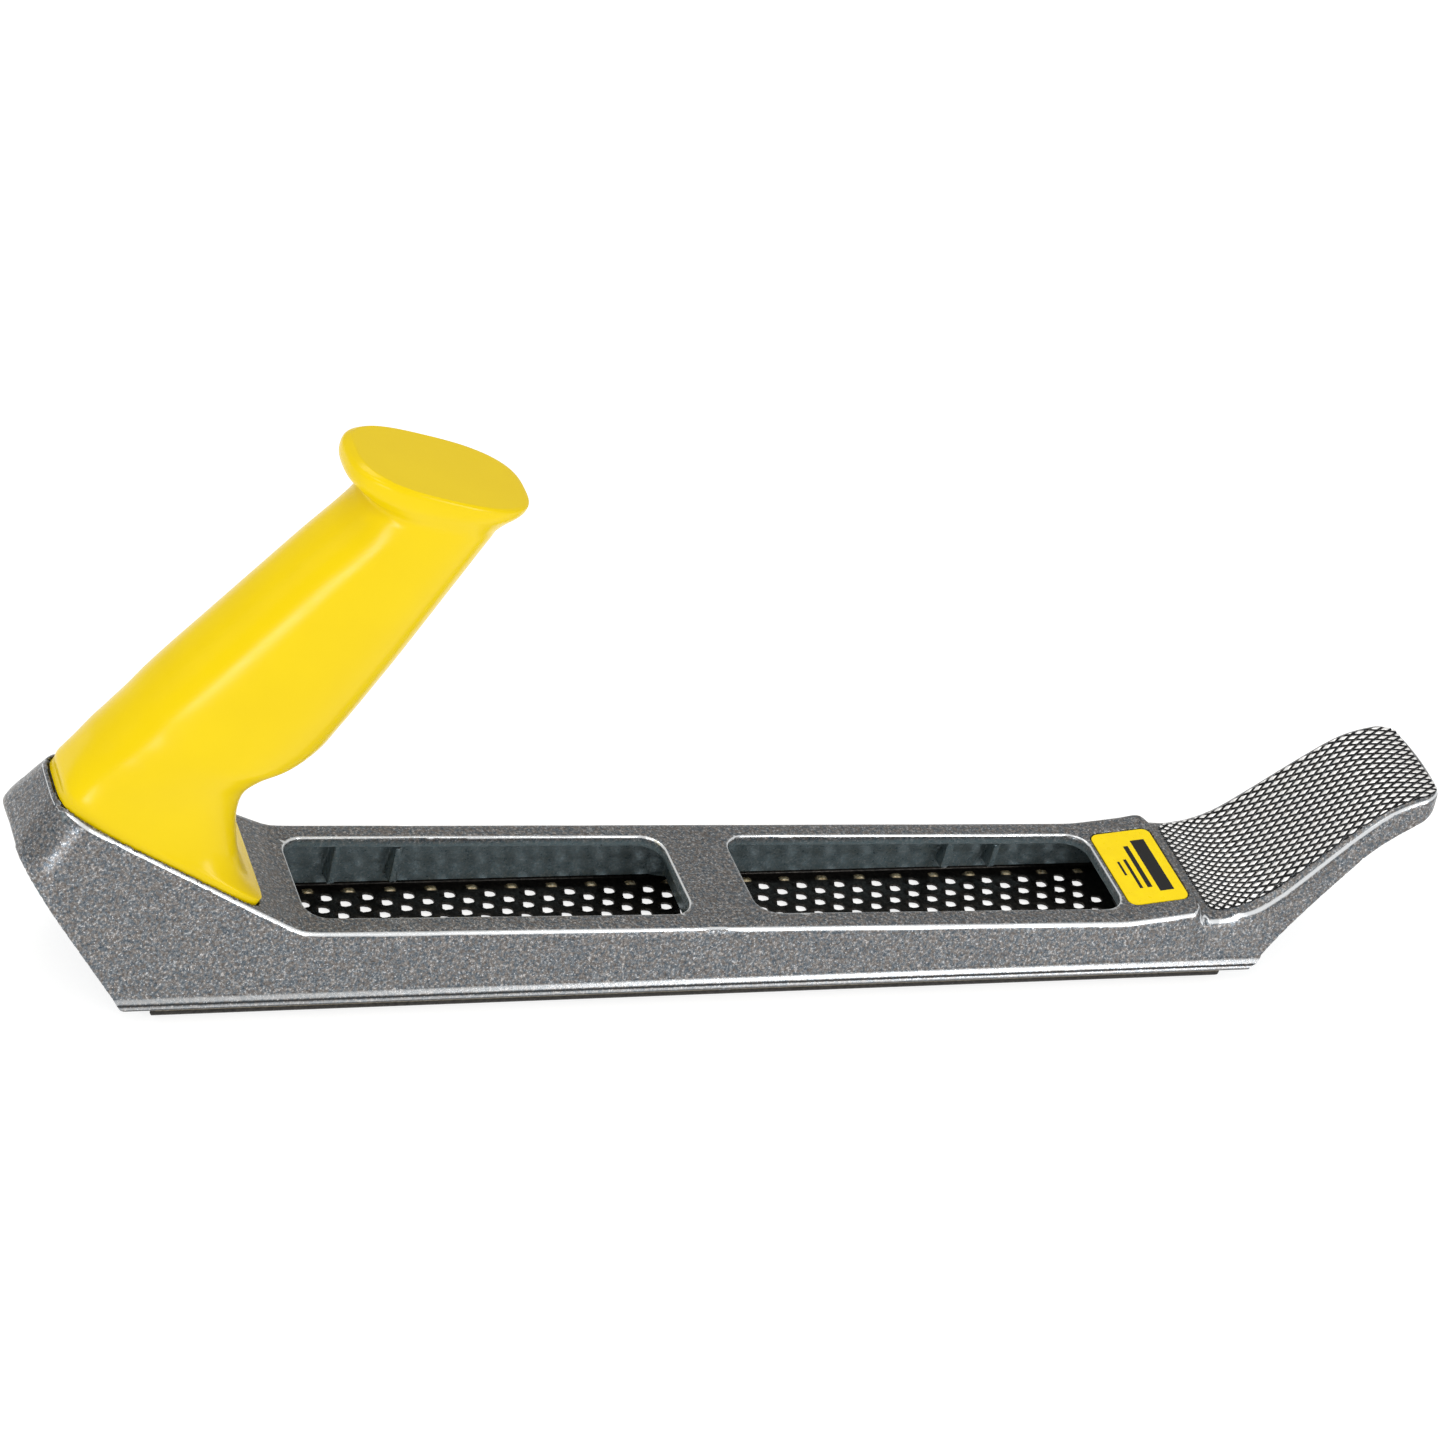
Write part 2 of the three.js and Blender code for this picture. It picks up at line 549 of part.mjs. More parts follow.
// One row of openings, slanted, each a triangle that points towards the toe.
function bladeHoles() {
  const holes = [];
  for (let row = 0; row < HOLE_ROWS; row += 1) {
    const y = HOLE_FIRST_ROW_Y - row * HOLE_ROW_STEP;
    const start = HOLE_START_X + row * HOLE_ROW_SHIFT;
    const first = Math.ceil((TOOTHED_START - start) / HOLE_PITCH);
    const last = Math.floor((TOOTHED_END - start) / HOLE_PITCH);
    for (let i = first; i <= last; i += 1) {
      const x = start + i * HOLE_PITCH;
      const shape = new THREE.Shape();
      shape.moveTo(x + HOLE_LENGTH * 0.6, y);
      shape.lineTo(x - HOLE_LENGTH * 0.5, y + HOLE_WIDTH / 2);
      shape.lineTo(x - HOLE_LENGTH * 0.5, y - HOLE_WIDTH / 2);
      holes.push(planSlab(shape, -1, SOLE_THICKNESS + 1));
    }
  }
  return wasm.Manifold.union(holes);
}

function blade() {
  const half = BLADE_HALF_WIDTH;
  const inner = half - BLADE_THICKNESS;
  const inside = SOLE_THICKNESS + 0.2;
  const section = [
    [-half, 1.2], [-half + 0.4, 0.4], [-half + 1.2, 0], [half - 1.2, 0], [half - 0.4, 0.4], [half, 1.2],
    [half, FLANGE_HEIGHT], [inner, FLANGE_HEIGHT], [inner, inside], [inner - 0.2, SOLE_THICKNESS],
    [-inner + 0.2, SOLE_THICKNESS], [-inner, inside], [-inner, FLANGE_HEIGHT], [-half, FLANGE_HEIGHT],
  ];
  const channel = runAlongX(section, 0, BLADE_LENGTH);
  const endTrim = sideSlab([[0, 1.6], [0.8, -0.4], [BLADE_LENGTH - 0.8, -0.4], [BLADE_LENGTH, 1.6],
    [BLADE_LENGTH, 4.2], [BLADE_LENGTH - 0.8, 6], [0.8, 6], [0, 4.2]], -30, 30);
  const slot = block([BLADE_SLOT_NEAR, -BLADE_SLOT_HALF_WIDTH, -1],
    [BLADE_SLOT_NEAR + BLADE_SLOT_LENGTH, BLADE_SLOT_HALF_WIDTH, SOLE_THICKNESS + 1]);
  const toeSlot = slot.translate([BLADE_LENGTH - 2 * BLADE_SLOT_NEAR - BLADE_SLOT_LENGTH, 0, 0]);
  return channel.intersect(endTrim).subtract(slot).subtract(toeSlot).subtract(bladeHoles());
}

// ---------------------------------------------------------------- handle

function handle() {
  const grip = solidOf(loft(HANDLE_ROWS.map(handleRing)));
  const pilots = HANDLE_SCREWS.map(({ x, depth }) => (
    rod(SCREW_RADIUS + GAP, depth + PILOT_EXTRA_DEPTH, onDeck(x, -2), deckNormal, 12)));
  return grip.subtract(wasm.Manifold.union(pilots));
}

// ---------------------------------------------------------------- screws, washers and clamp

// A pan-head screw whose head sits below `seat` and whose shank runs along `direction`.
function screw(seat, direction, length) {
  const crown = HEAD_HEIGHT * 0.35;
  const body = turned([[0, -HEAD_HEIGHT], [HEAD_RADIUS - crown, -HEAD_HEIGHT],
    [HEAD_RADIUS, -HEAD_HEIGHT + crown], [HEAD_RADIUS, 0], [SCREW_RADIUS, 0],
    [SCREW_RADIUS, length - 1], [SCREW_RADIUS - 0.8, length], [0, length]], seat, direction);
  const socketStart = seat.clone().addScaledVector(direction, -HEAD_HEIGHT - 1);
  return body.subtract(rod(SOCKET_RADIUS, SOCKET_DEPTH + 1, socketStart, direction, SOCKET_SIDES));
}

function ring(innerRadius, outerRadius, thickness, at, direction) {
  const profile = [[innerRadius, 0], [outerRadius, 0], [outerRadius, thickness], [innerRadius, thickness],
    [innerRadius, 0]];
  return turned(profile, at, direction);
}

const washer = (at, direction) => (
  ring(SCREW_RADIUS + GAP, WASHER_RADIUS, WASHER_THICKNESS, at, direction));

function bladeClamp() {
  const end = CLAMP_START + CLAMP_LENGTH;
  const slotEnd = BLADE_LENGTH - BLADE_SLOT_NEAR;
  const shoulder = CLAMP_TOP - CLAMP_CHAMFER;
  const nut = sideSlab([[CLAMP_START, CLAMP_BOTTOM], [end, CLAMP_BOTTOM], [end, shoulder],
    [end - CLAMP_CHAMFER, CLAMP_TOP], [CLAMP_START + CLAMP_CHAMFER, CLAMP_TOP], [CLAMP_START, shoulder]],
  -CLAMP_HALF_WIDTH, CLAMP_HALF_WIDTH);
  const hook = block([slotEnd - GAP - HOOK_THICKNESS, -HOOK_HALF_WIDTH, HOOK_BOTTOM],
    [slotEnd - GAP, HOOK_HALF_WIDTH, CLAMP_BOTTOM + 1.2]);
  const bore = rod(SCREW_RADIUS + GAP, 20, atScrew(CLAMP_START - 5), ALONG_X);
  return nut.add(hook).subtract(bore);
}

// ---------------------------------------------------------------- assembly

const tool = new THREE.Group();
tool.position.x = -ORIGIN_X;

const FINISHES = {
  castAluminium: { color: 0x6f7276, roughness: 0.55, metalness: 0.6 },
  yellowPlastic: { color: 0xf5d30a, roughness: 0.35, metalness: 0 },
  bladeSteel: { color: 0x4a443c, roughness: 0.4, metalness: 0.9 },
  zincSteel: { color: 0xa8a9ad, roughness: 0.35, metalness: 0.9 },
  printedLabel: { color: 0xf2d61c, roughness: 0.4, metalness: 0 },
};

function addNode(name, solid, finish) {
  const mesh = new THREE.Mesh(geometryOf(solid), new THREE.MeshStandardMaterial(FINISHES[finish]));
  mesh.name = name;
  tool.add(mesh);
}

addNode('body_casting', bodyCasting(), 'castAluminium');
addNode('handle', handle(), 'yellowPlastic');
addNode('blade', blade(), 'bladeSteel');

const labelBack = GAP - LABEL_POCKET_DEPTH;
addNode('label', onPanel(0, labelBack, labelBack + LABEL_THICKNESS), 'printedLabel');

HANDLE_SCREWS.forEach(({ name, x, depth }) => {
  const washerSeat = onDeck(x, -BOSS_DEPTH - GAP - WASHER_THICKNESS);
  const headSeat = onDeck(x, -BOSS_DEPTH - 2 * GAP - WASHER_THICKNESS);
  addNode(`handle_washer_${name}`, washer(washerSeat, deckNormal), 'zincSteel');
  addNode(`handle_screw_${name}`, screw(headSeat, deckNormal, BOSS_DEPTH + depth), 'zincSteel');
});

const webEnd = TOE_WEB_START + TOE_WEB_THICKNESS;
const tensionSeat = webEnd + 2 * GAP + WASHER_THICKNESS;
const tensionLength = tensionSeat - TENSION_SCREW_END;
const clipSeat = atScrew(TOE_WEB_START - GAP - CLIP_THICKNESS);
addNode('tension_washer', washer(atScrew(webEnd + GAP), ALONG_X), 'zincSteel');
addNode('tension_screw', screw(atScrew(tensionSeat), ALONG_X.clone().negate(), tensionLength), 'zincSteel');
addNode('screw_clip', ring(SCREW_RADIUS + GAP, CLIP_RADIUS, CLIP_THICKNESS, clipSeat, ALONG_X), 'zincSteel');
addNode('blade_clamp', bladeClamp(), 'zincSteel');

export default tool;
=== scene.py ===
"""A hand-held wood rasp: a speckled grey die casting with two chip windows, a glossy yellow handle
on its heel, a knurled finger rest at its toe, and a perforated steel blade stretched underneath.

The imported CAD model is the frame. Shapes are worked out in millimetres along the blade: X from the
blade's heel end towards the toe, Z up from the tooth tips. `place` moves them into the frame.
"""

import math

import bmesh
import bpy
import numpy as np
import openvdb
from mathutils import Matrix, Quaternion, Vector


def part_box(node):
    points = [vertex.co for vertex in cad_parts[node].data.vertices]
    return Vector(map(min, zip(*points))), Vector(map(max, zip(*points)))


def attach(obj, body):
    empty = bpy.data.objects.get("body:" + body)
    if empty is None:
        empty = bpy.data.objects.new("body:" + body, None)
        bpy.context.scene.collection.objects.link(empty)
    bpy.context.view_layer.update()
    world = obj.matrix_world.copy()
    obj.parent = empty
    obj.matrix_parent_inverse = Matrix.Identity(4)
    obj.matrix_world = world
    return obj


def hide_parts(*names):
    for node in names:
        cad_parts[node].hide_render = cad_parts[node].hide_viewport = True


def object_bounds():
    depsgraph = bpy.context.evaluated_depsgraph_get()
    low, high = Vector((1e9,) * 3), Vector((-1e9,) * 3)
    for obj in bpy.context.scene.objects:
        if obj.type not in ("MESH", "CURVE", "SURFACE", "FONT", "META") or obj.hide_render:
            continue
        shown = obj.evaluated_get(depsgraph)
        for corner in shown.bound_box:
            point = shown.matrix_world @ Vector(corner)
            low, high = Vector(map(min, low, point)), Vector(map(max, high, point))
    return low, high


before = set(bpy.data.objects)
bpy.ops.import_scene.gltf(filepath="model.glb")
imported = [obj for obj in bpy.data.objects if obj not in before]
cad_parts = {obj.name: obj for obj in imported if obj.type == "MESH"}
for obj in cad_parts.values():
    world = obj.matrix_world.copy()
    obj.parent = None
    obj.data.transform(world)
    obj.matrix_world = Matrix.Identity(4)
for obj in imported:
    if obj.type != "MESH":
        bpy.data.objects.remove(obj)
cad_low, cad_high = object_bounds()

MM = 0.001
BLADE_LOW, BLADE_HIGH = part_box("blade")
HEEL_X = BLADE_LOW.x

# ---------------------------------------------------------------- dimensions, in millimetres

GAP = 0.3

# The blade: a flat sole with rows of teeth across it, and an upright flange along each side.
BLADE_LENGTH = (BLADE_HIGH.x - BLADE_LOW.x) / MM
BLADE_HALF = BLADE_HIGH.y / MM
FLANGE_TOP = BLADE_HIGH.z / MM
SHEET, SHEET_TOP = 0.7, 1.2
TOOTH_DEPTH = 0.52
TONGUE_RISE = 0.45
ROWS, ROW_STEP, ROW_SHIFT = 18, 2.05, 3.92
FIRST_ROW_Y, ROW_START_X = 17.9, 70.88
HOLE_PITCH = 9.36
HOLE_HALF, HOLE_REACH = 1.22, 1.12
TOOTHED = (18.5, 231.5)
SLOTS, SLOT_HALF = ((6.2, 14.7), (235.3, 243.8)), 8.0

# The casting's outer faces: foot, leaning heel, deck under the handle, top and label panel.
TIP_X = cad_high.x / MM - HEEL_X / MM
BACK_X = cad_low.x / MM - HEEL_X / MM
FOOT_Z, FOOT_HALF = 3.8, 22.6
HEEL_LEAN, HEEL_CORNER_X = 0.245, -6.65
BACK_KNEE_Z, BACK_LEAN = 35.4, 0.658
DECK_Z, DECK_SLOPE = 35.6, 0.515
TOP_Z, TOP_SLOPE, TOP_HALF = 20.53, 0.0213, 18.25
PANEL_START, PANEL_END, PANEL_SLOPE = 224.0, 242.4, 0.125

# What is cut out of it or stands inside it.
WALL, ROOF = 2.6, 3.0
WINDOWS = ((32.4, 119.4), (134.8, 225.0))
WINDOW_HALF, WINDOW_CORNER, WINDOW_FLOOR = 13.4, 5.0, 11
RIBS = (46.5, 60.5, 193.0, 205.0)
RIB_HALF, RIB_FACE = 0.9, 14.9
MIDDLE_WEB_X, WEB_HALF = 127.1, 1.5
TOE_WEB = (250.8, 253.8)
LABEL, LABEL_HALF, LABEL_CORNER = (226.4, 241.1), 12.9, 2.0
RECESS_DEPTH = 0.8
HANDLE_SCREWS = (-9.0, 5.0)
BOSS_RADIUS, BOSS_DEPTH, BORE = 5.6, 6.0, 2.8
SCREW_Z = 8.5

# Edges: the roundings of the heel, the tip and the windows, and where the painted highlight on them lies.
HEEL_ROUND, TIP_ROUND, WINDOW_RIM = 8.0, 4.0, 0.7
EDGE_ANGLE, EDGE_SPAN = 48.0, 4.0

# The handle's foot: its ends on the deck, half-width, widening towards the front, and squareness.
FOOT, FOOT_WIDE = (-21.5, 21.2), 13.55
FOOT_FLARE, FOOT_SQUARE = 0.185, (4.5, 12)

# Screws, washers, clip and clamp.
HEAD_HEIGHT, HEAD_RADIUS, SHANK_RADIUS = 3.2, 4.6, 2.5
SOCKET_RADIUS, SOCKET_DEPTH = 2.2, 2.0
WASHER, WASHER_RADIUS = 1.0, 5.2
CLIP, CLIP_RADIUS = 0.8, 4.2
CLAMP_START, CLAMP_END = 237.4, 244.4
SCREW_PITCH, SCREW_THREAD = 0.8, 0.35
WOOD_PITCH, WOOD_THREAD = 1.8, 0.7
DRAW_SCREW_END = 232.6

# The finger rest's top line: place, height, half-width and radius of its edge.
REST = np.array([
    (243.2, 16.3, 18.2, 2.6), (249.0, 16.7, 17.8, 3.2), (254.5, 18.3, 17.5, 3.4), (260.0, 21.4, 17.1, 3.2),
    (266.2, 26.7, 16.6, 2.6), (276.0, 35.9, 15.7, 2.0), (282.8, 41.6, 15.2, 1.6), (287.5, 44.2, 14.9, 1.4),
    (293.0, 45.9, 14.5, 1.2), (298.3, 46.7, 14.1, 1.2), (304.0, 46.9, 13.6, 1.2),
])
UNDERSIDE = np.array([
    (256.0, 3.1), (258.3, 6.0), (267.3, 16.7), (276.8, 27.4), (280.4, 31.4), (283.6, 34.2),
    (287.0, 36.6), (291.0, 38.9), (296.4, 41.8), (300.0, 43.4), (306.0, 46.0),
])

# ---------------------------------------------------------------- curves and solid fields


def catmull(knots, steps=24):
    """A smooth curve through the rows of `knots`, with `steps` points to each span."""
    knots = np.asarray(knots, float)
    ends = np.vstack([2 * knots[0] - knots[1], knots, 2 * knots[-1] - knots[-2]])
    t = np.linspace(0, 1, steps, endpoint=False)[:, None]
    spans = []
    for a, b, c, d in zip(ends[:-3], ends[1:-2], ends[2:-1], ends[3:]):
        spans.append(0.5 * (2 * b + (c - a) * t + (2 * a - 5 * b + 4 * c - d) * t**2
                            + (3 * b - a - 3 * c + d) * t**3))
    return np.vstack([*spans, knots[-1:]])


def soft_max(a, b, softness):
    return (a + b + np.hypot(a - b, softness)) / 2


def round_max(a, b, radius):
    """The field of what two solids share, with an edge of that radius where they meet."""
    inner = np.minimum(np.maximum(a, b), -radius)
    return inner + np.hypot(np.maximum(a + radius, 0), np.maximum(b + radius, 0))


def round_min(a, b, radius):
    """The field of two solids joined, with a fillet of that radius."""
    return -round_max(-a, -b, radius)


def cut(solid, tool, radius):
    return round_max(solid, -tool, radius)


def box_field(x, y, z, low, high, radius=0.0):
    q = []
    for value, lo, hi in zip((x, y, z), low, high):
        q.append(np.abs(value - (lo + hi) / 2) - (hi - lo) / 2 + radius)
    outside = np.sqrt(sum(np.maximum(part, 0) ** 2 for part in q))
    return outside + np.minimum(np.maximum(np.maximum(q[0], q[1]), q[2]), 0) - radius


def plate_field(u, v, low, high, half, radius):
    """A rounded rectangle in the plane: u from low to high, v within half."""
    qu = np.abs(u - (low + high) / 2) - (high - low) / 2 + radius
    qv = np.abs(v) - half + radius
    return np.hypot(np.maximum(qu, 0), np.maximum(qv, 0)) + np.minimum(np.maximum(qu, qv), 0) - radius


deck_z = lambda x: DECK_Z - DECK_SLOPE * x
top_z = lambda x: TOP_Z - TOP_SLOPE * x
panel_z = lambda x: top_z(PANEL_START) + PANEL_SLOPE * (x - PANEL_START)

# Tables along X, fine enough to read between by straight lines.
LINE_X = np.arange(-50, 305, 0.05)
rest_line = catmull(REST)
on_step = np.clip((LINE_X - (PANEL_END - 0.5)) / 1.7, 0, 1)
on_step = on_step * on_step * (3 - 2 * on_step)
before_step = soft_max(soft_max(deck_z(LINE_X), top_z(LINE_X), 0.9), panel_z(np.minimum(LINE_X, 244)), 0.3)
on_rest = lambda column: np.interp(LINE_X, rest_line[:, 0], rest_line[:, column])
LINE_Z = before_step * (1 - on_step) + on_rest(1) * on_step
heel_half = -soft_max(-(FOOT_HALF - HEEL_LEAN * (LINE_Z - FOOT_Z)), -(TOP_HALF + 0.2), 0.3)
LINE_HALF = np.where(LINE_X < 60, heel_half, TOP_HALF + 0.05) * (1 - on_step) + on_rest(2) * on_step
LINE_EDGE = np.interp(LINE_X, [0, 24, 34], [1.15, 1.15, 1.4]) * (1 - on_step) + on_rest(3) * on_step
LINE_LEAN = (FOOT_HALF - LINE_HALF) / (LINE_Z - FOOT_Z)
LINE_RISE = np.gradient(LINE_Z, LINE_X)
under_line = catmull(UNDERSIDE)
UNDER_Z = np.interp(LINE_X, under_line[:, 0], under_line[:, 1], left=-10)
UNDER_RISE = np.gradient(np.interp(LINE_X, under_line[:, 0], under_line[:, 1]), LINE_X)


def along(table, x):
    return np.interp(x, LINE_X, table)


def body_faces(x, y, z):
    """Signed distances to the faces that bound the casting: side wall, heel back, tip and top."""
    near_end = np.clip((x - 236) / 3, 0, 1) * np.clip((247 - x) / 2.5, 0, 1)
    height = along(LINE_Z, x + 1.8 * np.clip((y - 13.8) / 4.4, 0, 1) ** 2 * near_end)
    lean = along(LINE_LEAN, x)
    side = (y - along(LINE_HALF, x) - lean * (height - z)) / np.hypot(1, lean)
    back_edge = BACK_X + BACK_LEAN * (soft_max(z, BACK_KNEE_Z + 0 * z, 1.5) - BACK_KNEE_Z)
    back = (back_edge - x) / np.hypot(1, BACK_LEAN)
    tip = x - TIP_X + 0.85 * (y / 10.4) ** 2
    top = (z - height) / np.hypot(1, along(LINE_RISE, x))
    return side, back, tip, top


def below_field(x, z):
    """The faces that trim the casting from below: sloped heel, level foot, underside of the rest."""
    run_x, run_z = BACK_X - HEEL_CORNER_X, BACK_KNEE_Z - FOOT_Z
    slope = ((z - FOOT_Z) * run_x - (x - HEEL_CORNER_X) * run_z) / math.hypot(run_x, run_z)
    under = (along(UNDER_Z, x) - z) / np.hypot(1, along(UNDER_RISE, x))
    return round_max(round_max(FOOT_Z - z, slope, 1.2), under, 3.0)


def screw_axis(x, z, at):
    """Distances from, and along, the axis of a handle screw that crosses the deck at X = at."""
    across = np.hypot(1, DECK_SLOPE)
    dx, dz = x - at, z - deck_z(at)
    return (dx - DECK_SLOPE * dz) / across, (DECK_SLOPE * dx + dz) / across


def recess_field(x, y, z):
    """The shallow recess in the deck that takes the handle's foot."""
    across = np.hypot(1, DECK_SLOPE)
    u = (x - DECK_SLOPE * (z - DECK_Z)) / across
    lift = (z - deck_z(x)) / across
    low, high = FOOT[0] * across, FOOT[1] * across
    centre, half_length = (low + high) / 2, (high - low) / 2 + GAP
    share = (u - centre) / half_length
    half = (FOOT_WIDE + GAP) * (1 + FOOT_FLARE * share)
    power = np.where(share < 0, *FOOT_SQUARE)
    reach = (np.abs(share) ** power + np.abs(y / np.maximum(half, 1)) ** power) ** (1 / power)
    outline = (reach - 1) * np.minimum(half, half_length)
    return np.maximum(outline, -lift - RECESS_DEPTH)


def pocket_field(x, y, z):
    """The shallow pocket in the panel that takes the label."""
    across = np.hypot(1, PANEL_SLOPE)
    middle_x = sum(LABEL) / 2
    along_panel = ((x - middle_x) + PANEL_SLOPE * (z - panel_z(middle_x))) / across
    above_panel = ((z - panel_z(middle_x)) - PANEL_SLOPE * (x - middle_x)) / across
    half_length = (LABEL[1] - LABEL[0]) / 2 + GAP
    outline = plate_field(along_panel, y, -half_length, half_length, LABEL_HALF + GAP, LABEL_CORNER + GAP)
    return np.maximum(outline, -above_panel - RECESS_DEPTH)


def casting_field(x, y, z):
    y = np.abs(y)
    side, back, tip, top = body_faces(x, y, z)
    plan = round_max(round_max(side, back, HEEL_ROUND), tip, TIP_ROUND)
    outer = round_max(plan, top, along(LINE_EDGE, x))
    outer = round_max(outer, below_field(x, z), 0.5)

    inner = round_max(round_max(side + WALL, back + WALL + 0.5, 5.5), tip + 3.4, 2.5)
    hollow = round_max(inner, top + ROOF, 1.6)
    solid = cut(outer, hollow, 0.45)

    # Stiffening ribs, and the webs that cross the body.
    under_roof, in_wall = top + 1, side + 1
    for at in RIBS:
        rib = np.maximum(np.abs(x - at) - RIB_HALF, np.maximum(RIB_FACE - y, in_wall))
        solid = round_min(solid, np.maximum(rib, np.maximum(under_roof, 5.5 - z)), 0.35)
        if at in RIBS[1::2]:
            notch = box_field(x, y, z, (at - 4.2, 14, top_z(at) - 4.2), (at, 16.4, top_z(at) - 3.1), 0.1)
            solid = cut(solid, notch, 0.1)
    web_top = np.maximum(under_roof, in_wall)
    middle = np.maximum(np.abs(x - MIDDLE_WEB_X) - WEB_HALF, np.maximum(web_top, 1.6 - z))
    toe_ends = np.maximum(z - 16, 4.5 - z)
    toe = np.maximum(np.abs(x - sum(TOE_WEB) / 2) - WEB_HALF, np.maximum(web_top, toe_ends))
    heel = box_field(x, y, z, (6.5, -20, 1.6), (9.5, 19.6, 11), 0.4)
    hook = box_field(x, y, z, (6.5, -6.5, 0.4), (9.3, 6.5, 10), 0.3)
    for web in (middle, toe, heel, hook):
        solid = round_min(solid, web, 0.6)

    # Bosses for the handle screws, under the deck.
    for at in HANDLE_SCREWS:
        off, lift = screw_axis(x, z, at)
        boss = np.maximum(np.maximum(np.hypot(off, y) - BOSS_RADIUS, -lift - BOSS_DEPTH), lift + 1.4)
        solid = round_min(solid, boss, 0.5)
    for at in HANDLE_SCREWS:
        off, lift = screw_axis(x, z, at)
        solid = cut(solid, np.maximum(np.hypot(off, y) - BORE, np.abs(lift) - 12), 0.3)

    # Chip windows, handle recess, label pocket, blade groove and the tension screw's hole.
    for low, high in WINDOWS:
        window = plate_field(x, y, low, high, WINDOW_HALF, WINDOW_CORNER)
        solid = cut(solid, np.maximum(window, WINDOW_FLOOR - z), WINDOW_RIM)
    solid = cut(solid, recess_field(x, y, z), 0.2)
    solid = cut(solid, pocket_field(x, y, z), 0.25)
    groove_end = (BLADE_LENGTH + 3, BLADE_HALF + GAP, FLANGE_TOP + GAP)
    solid = cut(solid, box_field(x, y, z, (-3, BLADE_HALF - 1.1, -3), groove_end), 0.1)
    lip = box_field(x, y, z, (1, 18.8, 1.5), (BLADE_LENGTH - 1, 19.8, 9), 0.3)
    solid = round_min(solid, lip, 0.1)
    screw_hole = np.maximum(np.hypot(y, z - SCREW_Z) - BORE, np.abs(x - sum(TOE_WEB) / 2) - 4)
    return cut(solid, screw_hole, 0.3)


# ---------------------------------------------------------------- handle sections


def on_deck(x, lift):
    """The place, in X and Z, at that lift above the deck, square to it."""
    across = math.hypot(1, DECK_SLOPE)
    return x + DECK_SLOPE * lift / across, deck_z(x) + lift / across


def handle_row(back, front, half, grow=0.0, square=(2.3, 2.3)):
    return [*back, *front, half, grow, *square]


# Sections of the handle from its foot to its cap: the back and front ends of the chord, the
# half-width, how much it grows towards the front, and how square its back and front are.
HANDLE = np.array([
    handle_row(on_deck(FOOT[0], -0.5), on_deck(FOOT[1], -0.5), FOOT_WIDE, FOOT_FLARE, FOOT_SQUARE),
    handle_row(on_deck(FOOT[0], 0.9), on_deck(FOOT[1], 1.3), FOOT_WIDE, FOOT_FLARE, FOOT_SQUARE),
    handle_row((-20.9, 49.3), (19.0, 28.4), 13.0, 0.13, (3.8, 6)),
    handle_row((-19.9, 51.4), (17.5, 32.2), 12.3, 0.07, (3.3, 4)),
    handle_row((-18.6, 53.7), (16.7, 36.8), 12.0, 0.03, (2.9, 3.2)),
    handle_row((-17.1, 56.2), (16.4, 42.4), 12.1, 0.0, (2.6, 2.6)),
    handle_row((-15.6, 58.6), (17.8, 47.2), 12.5, 0.0, (2.4, 2.3)),
    handle_row((-14.0, 60.8), (21.8, 50.6), 12.9, 0.0, (2.3, 2.2)),
    handle_row((-12.2, 63.2), (27.6, 53.6), 13.3, 0.0, (2.3, 2.2)),
    handle_row((-10.0, 66.2), (32.0, 57.8), 13.3, 0.0, (2.3, 2.2)),
    handle_row((-6.5, 71.2), (35.4, 64.0), 13.2),
    handle_row((6.2, 87.0), (43.6, 79.6), 12.7),
    handle_row((19.0, 102.8), (51.6, 95.9), 12.0),
    handle_row((29.6, 115.8), (58.4, 109.9), 11.5),
    handle_row((30.5, 118.0), (59.6, 112.2), 11.5),
    handle_row((28.0, 120.2), (61.6, 114.2), 12.0, 0.0, (2.4, 2.4)),
    handle_row((25.7, 122.8), (63.5, 116.0), 12.6, 0.0, (2.6, 2.6)),
    handle_row((25.4, 125.0), (64.2, 117.2), 12.7, 0.0, (2.7, 2.7)),
    handle_row((26.3, 126.6), (64.1, 118.2), 12.4, 0.0, (2.8, 2.8)),
    handle_row((27.6, 127.0), (63.4, 118.5), 12.0, 0.0, (2.8, 2.8)),
])


def section(row, share, sides):
    """A ring of points, in (x, y, z), of one handle section, drawn in to `share` of its size."""
    back, front, half, grow = row[0:2], row[2:4], row[4], row[5]
    angle = np.linspace(0, 2 * np.pi, sides, endpoint=False)
    c, s = np.cos(angle), np.sin(angle)
    power = 2 / np.where(c < 0, row[6], row[7])
    along_chord = np.sign(c) * np.abs(c) ** power * share
    across = np.sign(s) * np.abs(s) ** power * share
    spots = back + (front - back) * ((1 + along_chord) / 2)[:, None]
    return np.column_stack([spots[:, 0], across * half * (1 + grow * along_chord), spots[:, 1]])


# ---------------------------------------------------------------- blade


